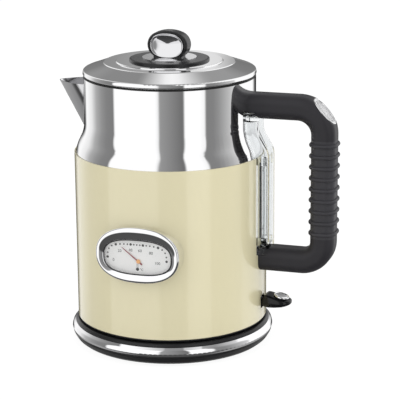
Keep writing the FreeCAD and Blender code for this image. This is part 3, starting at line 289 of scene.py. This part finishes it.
BLACK = moulded_black("satin_black", rgba(0.012, 0.012, 0.013), 0.30, 0.00002, 0.0006)
GLOSS_BLACK = moulded_black("gloss_black", rgba(0.005, 0.005, 0.006), 0.14, 0.000006, 0.0010)
GRIP_BLACK = moulded_black("grip_black", rgba(0.036, 0.035, 0.040), 0.48, 0.00003, 0.0005)
SOFT_BLACK = moulded_black("soft_touch_black", rgba(0.021, 0.020, 0.024), 0.48, 0.00003, 0.0005)
CREAM = cream_enamel()
STEEL = polished_steel("polished_steel", rgba(0.86, 0.86, 0.865), 0.02)
SPOUT_STEEL = spout_steel()
CHROME = polished_steel("bright_chrome", rgba(0.88, 0.88, 0.89), 0.02)
KNOB_CHROME = polished_steel("knob_chrome", rgba(0.72, 0.72, 0.735), 0.02)
# Dish under the knob: rougher chrome whose darker colour is partly painted shade, dimming its
# reflection of the bright knob plates.
SOFT_CHROME = polished_steel("soft_chrome", rgba(0.74, 0.74, 0.75), 0.13)
PLAIN_STEEL = plain_metal("plain_steel", rgba(0.55, 0.55, 0.56), 0.28)
ALUMINIUM = plain_metal("bare_aluminium", rgba(0.70, 0.70, 0.72), 0.35)
BRASS = plain_metal("contact_brass", rgba(0.72, 0.52, 0.22), 0.25)
CLEAR = clear_plastic()
COVER = clear_cover()
FILTER = filter_screen()
SILICONE = dull_rubber("dark_silicone", rgba(0.012, 0.012, 0.012), 0.5)
FOOT_RUBBER = dull_rubber("foot_rubber", rgba(0.02, 0.02, 0.02), 0.7)
DIAL = plain_plastic("dial_silver", rgba(0.90, 0.90, 0.89), 0.35)
INK = plain_plastic("dial_ink", rgba(0.02, 0.02, 0.022), 0.5)
NEEDLE_RED = plain_plastic("needle_red", rgba(0.30, 0.035, 0.045), 0.35)
HUB_ORANGE = plain_plastic("hub_orange", rgba(0.93, 0.46, 0.16), 0.35)
HEATPROOF = plain_plastic("heatproof_white", rgba(0.62, 0.61, 0.58), 0.5)

SLOT_FINISH = {
    "black_plastic": BLACK, "soft_black": SOFT_BLACK, "foot_rubber": FOOT_RUBBER,
    "cream_enamel": CREAM, "polished_steel": STEEL, "chrome_trim": CHROME,
    "brushed_steel": PLAIN_STEEL, "aluminium": ALUMINIUM, "brass": BRASS,
    "clear_plastic": CLEAR, "silicone": SILICONE, "dial_white": DIAL,
    "needle_red": NEEDLE_RED, "white_plastic": HEATPROOF}


OWN_FINISH = {
    "gauge_lens": COVER, "spout": SPOUT_STEEL, "grip_sleeve": GRIP_BLACK, "knob_dish": SOFT_CHROME,
    "filter_mesh": FILTER}


def finish_nodes():
    """Every carried-over sub-part takes its own finish, or else that of its slot."""
    for entry in frame["record"]["subparts"]:
        materials = nodes[entry["node"]].data.materials
        materials.clear()
        materials.append(OWN_FINISH.get(entry["node"], SLOT_FINISH[entry["material_slot"]]))


finish_nodes()


# ---- Shapes ----
def oval(half_wide, half_high, squareness, steps=128):
    """Points of a rounded outline, from an ellipse at squareness 2 towards a box."""
    points = []
    for step in range(steps):
        angle = 2 * math.pi * step / steps
        across, up = math.cos(angle), math.sin(angle)
        points.append((half_wide * math.copysign(abs(across) ** (2 / squareness), across),
                       half_high * math.copysign(abs(up) ** (2 / squareness), up)))
    return points


def skin(loops, closed=False):
    """A mesh over a row of loops with as many points each. A closed row joins its ends;
    an open one has its ends filled."""
    shape = bmesh.new()
    rows = [[shape.verts.new(point) for point in loop] for loop in loops]
    pairs = list(zip(rows, rows[1:])) + ([(rows[-1], rows[0])] if closed else [])
    for low, high in pairs:
        for at in range(len(low)):
            after = (at + 1) % len(low)
            shape.faces.new((low[at], low[after], high[after], high[at]))
    if not closed:
        for row in (rows[0], rows[-1]):
            centre = shape.verts.new(sum((corner.co for corner in row), Vector()) / len(row))
            for at in range(len(row)):
                shape.faces.new((row[at], row[(at + 1) % len(row)], centre))
    bmesh.ops.recalc_face_normals(shape, faces=shape.faces[:])
    return shape


def joined(shapes):
    """One bmesh of several."""
    whole = bmesh.new()
    for shape in shapes:
        mesh = bpy.data.meshes.new("part")
        shape.to_mesh(mesh)
        shape.free()
        whole.from_mesh(mesh)
        bpy.data.meshes.remove(mesh)
    return whole


def placed(shape, matrix):
    bmesh.ops.transform(shape, matrix=matrix, verts=shape.verts[:])
    return shape


def piece(name, shape, finish, body, slot, *replaced, crease=40.0):
    """Turns a bmesh into a finished piece that rides on a body."""
    mesh = bpy.data.meshes.new(name)
    shape.to_mesh(mesh)
    shape.free()
    mesh.shade_smooth()
    mesh.set_sharp_from_angle(angle=math.radians(crease))
    mesh.materials.append(finish)
    made = bpy.data.objects.new(name, mesh)
    bpy.context.scene.collection.objects.link(made)
    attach(made, body)
    if replaced:
        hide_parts(*replaced)
    return made


def plain_mesh(source):
    """The evaluated shape of an object as a bmesh; the object is removed."""
    bpy.context.view_layer.update()
    mesh = bpy.data.meshes.new_from_object(source.evaluated_get(bpy.context.evaluated_depsgraph_get()))
    shape = bmesh.new()
    shape.from_mesh(mesh)
    bpy.data.meshes.remove(mesh)
    bpy.data.objects.remove(source)
    return shape


def lettering(text, size, depth):
    """Numerals as a shape in the XY plane, centred, with a small thickness."""
    curve = bpy.data.curves.new("numeral", "FONT")
    curve.body, curve.size, curve.extrude = text, size, depth
    curve.align_x, curve.align_y = "CENTER", "CENTER"
    curve.resolution_u = 3
    made = bpy.data.objects.new("numeral", curve)
    bpy.context.scene.collection.objects.link(made)
    return plain_mesh(made)


def stud_tree():
    """Geometry nodes that set one low round stud on every point given."""
    group = bpy.data.node_groups.new("round_studs", "GeometryNodeTree")
    face = group.interface
    face.new_socket("Geometry", in_out="INPUT", socket_type="NodeSocketGeometry")
    for name in ("Radius", "Top Radius", "Height"):
        face.new_socket(name, in_out="INPUT", socket_type="NodeSocketFloat")
    face.new_socket("Sides", in_out="INPUT", socket_type="NodeSocketInt")
    face.new_socket("Finish", in_out="INPUT", socket_type="NodeSocketMaterial")
    face.new_socket("Geometry", in_out="OUTPUT", socket_type="NodeSocketGeometry")
    tree = Tree(group)
    given = tree.node("NodeGroupInput")
    stud = tree.node("GeometryNodeMeshCone", None, {
        "Vertices": given.out("Sides"), "Radius Top": given.out("Top Radius"),
        "Radius Bottom": given.out("Radius"), "Depth": given.out("Height")})
    spread = tree.node("GeometryNodeInstanceOnPoints", None, {
        "Points": given.out("Geometry"), "Instance": stud})
    real = tree.node("GeometryNodeRealizeInstances", None, {"Geometry": spread})
    dressed = tree.node("GeometryNodeSetMaterial", None, {
        "Geometry": real, "Material": given.out("Finish")})
    tree.node("NodeGroupOutput", None, {"Geometry": dressed})
    return group


STUDS = stud_tree()


def studs(points, radius, top_radius, height, sides, finish):
    """Low round studs at points (x, y, z), standing along +Z."""
    mesh = bpy.data.meshes.new("stud_places")
    mesh.from_pydata(points, [], [])
    made = bpy.data.objects.new("stud_places", mesh)
    bpy.context.scene.collection.objects.link(made)
    modifier = made.modifiers.new("studs", "NODES")
    modifier.node_group = STUDS
    wanted = {"Radius": radius, "Top Radius": top_radius, "Height": height, "Sides": sides,
              "Finish": finish}
    for item in STUDS.interface.items_tree:
        if item.in_out == "INPUT" and item.name in wanted:
            modifier[item.identifier] = wanted[item.name]
    return plain_mesh(made)


# ---- Thermometer ----
BODY_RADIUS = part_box("jacket")[1][0]
BEZEL_LOW, BEZEL_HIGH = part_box("gauge_bezel")
DIAL_LOW, DIAL_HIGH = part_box("gauge_dial")
BEZEL_FACE = BEZEL_LOW[1]
DIAL_FACE = DIAL_LOW[1]
DIAL_CENTRE = (BEZEL_LOW[2] + BEZEL_HIGH[2]) / 2
OPENING_CENTRE = (DIAL_LOW[2] + DIAL_HIGH[2]) / 2
PIVOT_HEIGHT = sum(corner[2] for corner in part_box("gauge_spindle")) / 2
BEZEL_LIFT = 0.9 * MM   # the face's centre above the middle of its back
UPRIGHT = Matrix.Rotation(math.radians(90), 4, "X")


def make_bezel():
    """Bright frame of the thermometer: a flared skirt down to the body, a rounded crest
    and a shallow slope in to the glass."""
    back_wide = BEZEL_HIGH[0] - 0.05 * MM
    back_high = (BEZEL_HIGH[2] - BEZEL_LOW[2]) / 2 - 0.05 * MM
    face_wide, face_high, open_wide, open_high = 33.0 * MM, 21.7 * MM, 27.0 * MM, 13.6 * MM
    skirt_top = BEZEL_FACE + 1.5 * MM

    def loop(share, flare, depth):
        """One turn: share of the way in to the opening, share of the flare at the body,
        and a function that gives the depth at each place across."""
        wide = face_wide + (open_wide - face_wide) * share + (back_wide - face_wide) * flare
        high = face_high + (open_high - face_high) * share + (back_high - face_high) * flare
        centre = (DIAL_CENTRE + BEZEL_LIFT * (1 - flare)
                  + (OPENING_CENTRE - DIAL_CENTRE - BEZEL_LIFT) * share)
        return [(across, depth(across), centre + up)
                for across, up in oval(wide, high, 2.3 + 0.4 * share, 144)]

    def on_body(across):
        return -math.sqrt(BODY_RADIUS ** 2 - across ** 2) + 0.2 * MM

    def up_skirt(rise):
        return lambda across: on_body(across) + (skirt_top - on_body(across)) * rise

    def behind_face(depth):
        return lambda across: BEZEL_FACE + depth * MM

    loops = [loop(0.0, 1.0, on_body)]
    loops += [loop(0.0, (1 - rise) ** 2.2, up_skirt(rise)) for rise in (0.2, 0.4, 0.6, 0.8, 0.92)]
    # share of the way in, depth behind the face
    crest = [(0.00, 1.5), (0.012, 1.15), (0.04, 0.78), (0.09, 0.42), (0.16, 0.16), (0.25, 0.03),
             (0.34, 0.0), (0.44, 0.08), (0.54, 0.26), (0.66, 0.54), (0.78, 0.86), (0.88, 1.15),
             (0.95, 1.38), (0.985, 1.62), (1.0, 1.95), (1.0, 3.9), (0.80, 3.95)]
    loops += [loop(share, 0.0, behind_face(depth)) for share, depth in crest]
    loops.append(loop(0.10, 0.0, on_body))
    piece("thermometer_bezel", skin(loops, closed=True), CHROME, "kettle", "chrome_trim",
          "gauge_bezel", "gauge_housing")


def make_glass_shade_ring():
    """Thin dark ring between the glass and the bright frame: painted shade, standing in for the dark
    inner wall of the frame's opening.
    """
    face = DIAL_FACE - 2.5 * MM
    section = [(-0.1, 0.0), (-0.1, 0.35), (0.25, 0.5), (0.62, 0.3), (0.62, 0.0)]
    loops = [[(x, face - rise * MM, OPENING_CENTRE + z)
              for x, z in oval((27.0 - inset) * MM, (13.6 - inset) * MM, 2.7, 144)]
             for inset, rise in section]
    piece("glass_shade_ring", skin(loops, closed=True), INK, "kettle", "silicone")


SCALE_EYE = 6.5 * MM    # the scale's rays meet this far below the pivot
SCALE_START = 19.4      # bearing of 0, in degrees
SCALE_STEP = 28.3       # between numerals


def on_scale(bearing, half_wide, half_high, squareness, shift):
    """Where a ray from below the pivot at this bearing meets a rounded outline."""
    turn = math.radians(bearing)
    low, high = 0.0, 40 * MM
    for _ in range(40):
        reach = (low + high) / 2
        across, up = -math.cos(turn) * reach, -SCALE_EYE + math.sin(turn) * reach
        inside = abs(across / half_wide) ** squareness + abs(max(up, 0.0) / half_high) ** squareness < 1
        low, high = (reach, high) if inside else (low, reach)
    return across + shift, up + PIVOT_HEIGHT, 0.0


def make_dial_print():
    """Scale dots, numerals and the bulb sign, printed on the dial."""
    shift = -1.2 * MM
    marks = [on_scale(SCALE_START + SCALE_STEP * step / 4, 23.5 * MM, 12.8 * MM, 4.0, shift)
             for step in range(21)]
    flat = []
    for numbered, radius in ((True, 0.95 * MM), (False, 0.60 * MM)):
        chosen = [mark for step, mark in enumerate(marks) if (step % 4 == 0) == numbered]
        flat.append(studs(chosen, radius, radius, 0.08 * MM, 16, INK))
    inner = [on_scale(SCALE_START + SCALE_STEP * step, 17.5 * MM, 8.3 * MM, 3.0, shift * 2.1)
             for step in range(6)]
    for place, text in zip(inner, ("0", "20", "40", "60", "80", "100")):
        flat.append(placed(lettering(text, 3.1 * MM, 0.04 * MM), Matrix.Translation(place)))
    bulb = (-0.9 * MM, PIVOT_HEIGHT - 6.2 * MM, 0.0)
    flat.append(studs([bulb], 1.25 * MM, 1.25 * MM, 0.08 * MM, 24, INK))
    for side in (-0.45, 0.45):
        stem = [[(bulb[0] + side * MM + x * 0.12 * MM, bulb[1] + 0.9 * MM + y * MM, z * 0.04 * MM)
                 for x, y in ((-1, 0), (1, 0), (1, 3.4), (-1, 3.4))] for z in (-1, 1)]
        flat.append(skin(stem))
    flat.append(placed(lettering("\u00b0C", 2.6 * MM, 0.04 * MM),
                       Matrix.Translation((bulb[0] + 3.2 * MM, bulb[1] - 0.2 * MM, 0.0))))
    print_face = Matrix.Translation((0, DIAL_FACE - 0.03 * MM, 0)) @ UPRIGHT
    piece("dial_printing", placed(joined(flat), print_face), INK, "kettle", "black_plastic", crease=30)


NEEDLE_TURN = -142.0    # degrees from +X, at rest


def make_needle():
    """Slim tapered pointer with a short tail, under a domed orange hub."""
    low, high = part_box("gauge_needle")
    back, front = high[1], low[1]
    middle = back - 0.25 * MM
    turn = Matrix.Translation((0, 0, PIVOT_HEIGHT)) @ Matrix.Rotation(math.radians(NEEDLE_TURN), 4, "Y")
    outline = [(-3.9, 0.10), (-3.4, 0.62), (-1.0, 0.45), (1.0, 0.42), (9.0, 0.30), (16.6, 0.14),
               (17.0, 0.0)]
    edge = outline + [(x, -half) for x, half in reversed(outline[:-1])]
    loops = [[(x * MM * swell, depth, y * MM * swell) for x, y in edge]
             for depth, swell in ((back - 0.02 * MM, 0.97), (middle, 1.0), (back - 0.38 * MM, 0.96))]
    piece("needle_pointer", placed(skin(loops), turn), NEEDLE_RED, "needle", "needle_red",
          "gauge_needle", crease=60)
    dome = [(1.65, 0.0), (1.7, 0.25), (1.55, 0.48), (1.15, 0.62), (0.7, 0.68), (0.3, 0.70)]
    hub = [[(radius * MM * math.cos(step * math.pi / 16), back - rise * MM,
             radius * MM * math.sin(step * math.pi / 16)) for step in range(32)]
           for radius, rise in dome]
    piece("needle_hub", placed(skin(hub), turn), HUB_ORANGE, "needle", "needle_red")


# ---- Water gauge ----
def make_gauge_backing():
    """Pale strip over the slot behind the level tube, pierced for the tube's two ports."""
    low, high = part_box("level_tube")
    seal_low, seal_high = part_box("water_gauge_seal")
    half, foot, head = 5.6 * MM, low[2] + 2 * MM, high[2] - 2 * MM
    port_inset = 7.0 * MM
    outlines = [[(-half, foot), (half, foot), (half, head), (-half, head)]]
    for port in (seal_low[2] + port_inset, seal_high[2] - port_inset):
        outlines.append([(y, port + z) for y, z in oval(2.2 * MM, 2.2 * MM, 2.0, 24)])
    curve = bpy.data.curves.new("strip", "CURVE")
    curve.dimensions, curve.fill_mode, curve.extrude = "2D", "BOTH", 0.08 * MM
    for outline in outlines:
        spline = curve.splines.new("POLY")
        spline.points.add(len(outline) - 1)
        for point, (y, z) in zip(spline.points, outline):
            point.co = (y, z, 0.0, 1.0)
        spline.use_cyclic_u = True
    made = bpy.data.objects.new("strip", curve)
    bpy.context.scene.collection.objects.link(made)
    upright = Matrix(((0, 0, 1, BODY_RADIUS + 0.12 * MM), (1, 0, 0, 0), (0, 1, 0, 0), (0, 0, 0, 1)))
    shape = placed(plain_mesh(made), upright)
    bmesh.ops.remove_doubles(shape, verts=shape.verts[:], dist=1e-6)
    bmesh.ops.recalc_face_normals(shape, faces=shape.faces[:])
    piece("gauge_backing", shape, HEATPROOF, "kettle", "white_plastic")


# ---- Lid knob ----
def make_knob_plates():
    """Two polished oval plates, each dished inside a thin raised rim."""
    low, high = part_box("knob_plates")
    wide, tall = high[0] - 0.6 * MM, (high[2] - low[2]) / 2 - 0.3 * MM
    centre, face = (high[2] + low[2]) / 2, low[1]
    # inset and depth from the face: back, rim, then the dish
    section = [(0.0, 2.6), (0.0, 0.42), (0.12, 0.14), (0.38, 0.0), (0.66, 0.05), (0.86, 0.20),
               (1.0, 0.30)]
    dish_wide = 8.3
    for step in range(1, 12):
        left = 1 - step / 12
        depth = 0.30 + dish_wide * (0.10 * (1 - left) + 0.15 * (1 - left ** 2))
        section.append((1.0 + dish_wide * (1 - left), depth))
    plates = []
    for side in (-1, 1):
        loops = [[(x, side * (-face - depth * MM), centre + z)
                  for x, z in oval(wide - inset * MM * (wide / tall if inset > 1.2 else 1.0),
                                   tall - inset * MM, 2.35, 96)] for inset, depth in section]
        plates.append(skin(loops))
    piece("dished_knob_plates", joined(plates), KNOB_CHROME, "lid", "chrome_trim", "knob_plates",
          crease=35)


# ---- Switch lever and badge ----
def tilted(centre, slope):
    """A frame whose +Z is the face's direction, tipped from straight up towards +X."""
    return Matrix.Translation(centre) @ Matrix.Rotation(math.radians(slope), 4, "Y")


def make_lever():
    """Smooth boat-shaped paddle on the lever's own stem and trip arm."""
    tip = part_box("switch_lever")[1][0] - 0.1 * MM
    stem_kept = 3.0 * MM
    inner = bmesh.new()
    inner.from_mesh(nodes["switch_lever"].data)
    bmesh.ops.remove_doubles(inner, verts=inner.verts[:], dist=0.001 * MM)
    bmesh.ops.bisect_plane(
        inner, geom=inner.verts[:] + inner.edges[:] + inner.faces[:],
        plane_co=(BODY_RADIUS + stem_kept, 0, 0), plane_no=(1, 0, 0), clear_outer=True)
    bmesh.ops.holes_fill(inner, edges=[edge for edge in inner.edges if edge.is_boundary], sides=0)
    # distance from the body, half width, top and underside above the floor
    sections = [
        (0.6, 5.0, 38.4, 31.4), (1.6, 5.9, 39.4, 31.1), (2.8, 6.9, 41.0, 30.9), (4.0, 7.5, 41.8, 30.8),
        (5.4, 7.9, 41.7, 30.8), (8.0, 8.4, 41.05, 30.9), (11.0, 8.55, 40.3, 31.2),
        (14.0, 8.5, 39.5, 31.7), (17.0, 8.2, 38.75, 32.2), (19.5, 7.2, 38.15, 32.9),
        (21.3, 5.7, 37.75, 33.5), (22.5, 4.1, 37.4, 34.0), (23.1, 2.7, 37.1, 34.5),
        (23.4, 1.2, 36.6, 35.1)]
    loops = []
    for out, half, top, under in sections:
        middle, tall = (top + under) / 2, (top - under) / 2
        loops.append([(min(BODY_RADIUS + out * MM, tip), y * MM, (middle + z) * MM)
                      for y, z in oval(half, tall, 3.6, 64)])
    piece("switch_paddle", joined([inner, skin(loops)]), GLOSS_BLACK, "lever", "black_plastic",
          "switch_lever", crease=50)


def make_lever_pad():
    """Domed bright pad in a fine raised ring, let into the lever."""
    low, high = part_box("lever_pad")
    slope = 14.5
    centre = ((low[0] + high[0]) / 2 - 0.3 * MM, 0.0, (low[2] + high[2]) / 2 + 0.1 * MM)
    half_long, half_wide = 6.1 * MM, 6.0 * MM
    section = [(0.0, -0.5), (0.0, 0.15), (0.18, 0.42), (0.45, 0.50), (0.75, 0.40), (0.95, 0.10),
               (1.25, 0.12), (1.7, 0.26), (2.4, 0.37), (3.2, 0.44), (4.2, 0.49), (5.2, 0.50)]
    loops = [[(x, y, rise * MM)
              for x, y in oval(half_long - inset * MM, half_wide - inset * MM, 2.05, 72)]
             for inset, rise in section]
    piece("domed_lever_pad", placed(skin(loops), tilted(centre, slope)), CHROME, "lever",
          "chrome_trim", "lever_pad", crease=50)


def make_badge():
    """Oval badge on the handle's shoulder: a bright rim round a plain stippled plate."""
    low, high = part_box("badge_rim")
    face = tilted(((low[0] + high[0]) / 2, 0.0, (low[2] + high[2]) / 2), 90.0 - 41.7)
    long, wide = 12.5 * MM, 9.4 * MM

    def loops(section):
        return [[(x, y, rise * MM) for x, y in oval(long - inset * MM, wide - inset * MM, 2.0, 96)]
                for inset, rise in section]

    ring = [(0.0, -0.9), (0.0, 0.45), (0.25, 0.82), (0.65, 0.98), (1.05, 0.85), (1.35, 0.45),
            (1.4, -0.9)]
    piece("badge_bright_rim", placed(skin(loops(ring), closed=True), face), CHROME, "kettle",
          "chrome_trim", "badge_rim", crease=50)
    plate = [(1.3, -0.8), (1.3, 0.30), (3.0, 0.42), (6.0, 0.50), (8.5, 0.52)]
    across, apart, margin = 0.85 * MM, 0.74 * MM, 2.0 * MM
    spots = []
    for row in range(-9, 10):
        for column in range(-13, 14):
            x, y = (column + 0.5 * (row % 2)) * across, row * apart
            if (x / (long - margin)) ** 2 + (y / (wide - margin)) ** 2 < 1.0:
                spots.append((x, y, 0.44 * MM))
    grains = studs(spots, 0.30 * MM, 0.12 * MM, 0.26 * MM, 8, CHROME)
    piece("badge_stippled_plate", placed(joined([skin(loops(plate)), grains]), face), CHROME,
          "kettle", "chrome_trim", "badge_plate", crease=30)


make_bezel()
make_glass_shade_ring()
make_lever()
make_lever_pad()
make_badge()
make_dial_print()
make_needle()
make_gauge_backing()
make_knob_plates()


# ---- Studio ----
VIEW_AZIMUTH = math.radians(18.0)
VIEW_ELEVATION = math.radians(15.04)
VIEW_DISTANCE = 1.317
VIEW_TARGET = Vector((0.0216, 0.0070, 0.1107))
VIEW_LENS = 150.4
VIEW_ROLL = math.radians(-0.44)
WHITE = rgba(1.0, 1.0, 1.0)


def toward(azimuth, elevation):
    """Unit vector from the kettle to a place in the room, azimuth 0 in front of the dial."""
    return Vector((math.sin(azimuth) * math.cos(elevation), -math.cos(azimuth) * math.cos(elevation),
                   math.sin(elevation)))


def make_camera():
    data = bpy.data.cameras.new("studio_camera")
    data.lens = VIEW_LENS
    data.sensor_width = 36.0
    data.clip_end = 50.0
    camera = bpy.data.objects.new("studio_camera", data)
    bpy.context.scene.collection.objects.link(camera)
    back = toward(VIEW_AZIMUTH, VIEW_ELEVATION)
    turn = back.to_track_quat("Z", "Y").to_matrix().to_4x4()
    place = Matrix.Translation(VIEW_TARGET + back * VIEW_DISTANCE)
    camera.matrix_world = place @ turn @ Matrix.Rotation(VIEW_ROLL, 4, "Z")
    bpy.context.scene.camera = camera


def area_lamp(name, azimuth, elevation, distance, size, power):
    data = bpy.data.lights.new(name, "AREA")
    data.shape = "RECTANGLE"
    data.size, data.size_y = size
    data.energy = power
    lamp = bpy.data.objects.new(name, data)
    bpy.context.scene.collection.objects.link(lamp)
    back = toward(math.radians(azimuth), math.radians(elevation))
    place = Matrix.Translation(Vector((0, 0, 0.1)) + back * distance)
    lamp.matrix_world = place @ back.to_track_quat("Z", "Y").to_matrix().to_4x4()
    lamp.visible_glossy = False


# Brightness of the reflected room. In front of the kettle it goes by the angle from
# the camera's direction, in degrees, positive to the right, and by height; behind the
# kettle, by how far to the side and how high the reflected direction points.
FRONT_ROOM = [(-180, 0.90), (-177, 0.84), (-168, 0.24), (-160, 0.24), (-153, 0.93), (-143, 0.93),
              (-127, 0.79), (-114, 0.41), (-102, 0.28), (-92, 0.22), (-80, 0.20), (-77, 1.0),
              (-19, 1.0), (-15, 0.85), (-12.5, 0.30), (0, 0.24), (18, 0.15),
              (20.5, 1.0), (40, 1.0), (47, 0.90), (49.5, 0.21), (60, 0.22), (68, 0.28), (76, 0.37),
              (85, 0.48), (93, 0.60), (97, 1.0), (153, 0.95), (160, 0.30), (168, 0.30),
              (177, 0.84), (180, 0.90)]
FLOOR_SEEN = [(-1.0, 0.34), (-0.1, 0.30), (0.15, 0.08), (1.0, 0.06)]
CEILING_SEEN = [(0.0, 0.27), (0.2, 0.30), (0.5, 0.62), (1.0, 0.90)]
BACK_SIDE = [(0.0, 0.72), (0.012, 0.68), (0.026, 0.34), (0.06, 0.25), (0.11, 0.17), (0.20, 0.20),
             (0.52, 0.85), (1.0, 0.85)]
BACK_HEIGHT = [(0.0, 0.0), (0.55, 0.0), (0.64, 0.78), (0.84, 0.78), (0.90, 0.36), (1.0, 0.36)]


# Strengths of the room: to matt surfaces, in reflections, and as the backdrop.
ROOM_LIGHT, MIRRORED_LIGHT, BACKDROP_LIGHT = 0.80, 1.15, 1.0


def grey_stops(levels, low, high):
    return [((place - low) / (high - low), (level,) * 3) for place, level in levels]


def make_world():
    world = bpy.data.worlds.new("studio_room")
    bpy.context.scene.world = world
    world.use_nodes = True
    room = Tree(world.node_tree)

    def ramp(stops, place):
        return room.node("ShaderNodeValToRGB", {"stops": stops}, {0: place})

    direction = room.node("ShaderNodeTexCoord").out("Generated")
    parts = room.node("ShaderNodeSeparateXYZ", None, {0: direction})
    x, y, z = parts.out("X"), parts.out("Y"), parts.out("Z")
    right = x * math.cos(VIEW_AZIMUTH) + y * math.sin(VIEW_AZIMUTH)
    front = x * math.sin(VIEW_AZIMUTH) - y * math.cos(VIEW_AZIMUTH)
    around = right.math("ARCTAN2", front) / (2 * math.pi) + 0.5
    floor_seen = ramp(grey_stops(FLOOR_SEEN, -1, 1), front * 0.5 + 0.5)
    ceiling_seen = ramp(grey_stops(CEILING_SEEN, 0, 1), right.math("ABSOLUTE"))
    # how far a direction counts as floor, ceiling, behind the kettle and below its level
    low = ((z * -16.0) - 5.2).clamped()
    high = ((z * 8.0) - 6.3).clamped()
    level = ramp(grey_stops(FRONT_ROOM, -180, 180), around)
    front_room = level + low * (floor_seen - level) + high * (ceiling_seen - level)
    side_room = ramp(grey_stops(BACK_SIDE, 0, 1), right.math("ABSOLUTE"))
    back_room = side_room.math("MAXIMUM", ramp(grey_stops(BACK_HEIGHT, 0, 1), z))
    behind = ((front * -12.0) - 9.8).clamped()
    below = ((z * -8.0) - 0.4).clamped(0.92)
    reflected = front_room + behind * (back_room * (1.0 - below) - front_room)
    path = room.node("ShaderNodeLightPath")
    plain = room.node("ShaderNodeBackground", None, {"Color": WHITE, "Strength": ROOM_LIGHT})
    mirrored = room.node("ShaderNodeBackground", None, {"Color": reflected, "Strength": MIRRORED_LIGHT})
    backdrop = room.node("ShaderNodeBackground", None, {"Color": WHITE, "Strength": BACKDROP_LIGHT})
    seen = room.node("ShaderNodeMixShader", None, {0: path.out("Is Glossy Ray"), 1: plain, 2: mirrored})
    clear = path.out("Is Camera Ray").math("MAXIMUM", path.out("Is Transmission Ray"))
    shown = room.node("ShaderNodeMixShader", None, {0: clear, 1: seen, 2: backdrop})
    room.node("ShaderNodeOutputWorld", None, {"Surface": shown})


def make_floor():
    half = 6.0
    mesh = bpy.data.meshes.new("floor")
    mesh.from_pydata([(-half, -half, 0), (half, -half, 0), (half, half, 0), (-half, half, 0)], [],
                     [(0, 1, 2, 3)])
    floor = bpy.data.objects.new("floor", mesh)
    bpy.context.scene.collection.objects.link(floor)
    finish = Finish("studio_floor", {"Base Color": rgba(0.90, 0.90, 0.90), "Roughness": 0.9,
                                     "Specular IOR Level": 0.0})
    path = finish.node("ShaderNodeLightPath")
    white = finish.node("ShaderNodeEmission", None, {"Color": WHITE, "Strength": 1.08})
    share = path.out("Is Camera Ray") * 0.86
    finish.show(finish.node("ShaderNodeMixShader", None, {0: share, 1: finish.shader, 2: white}))
    mesh.materials.append(finish.material)
    floor.visible_glossy = False


make_camera()
make_world()
make_floor()
area_lamp("key_lamp", -30.0, 40.0, 1.6, (1.0, 1.2), 2.5)
area_lamp("fill_lamp", 95.0, 30.0, 1.8, (1.0, 1.2), 8.0)
area_lamp("top_lamp", 0.0, 88.0, 1.5, (1.4, 1.4), 2.0)
bpy.context.scene.view_settings.view_transform = "Standard"
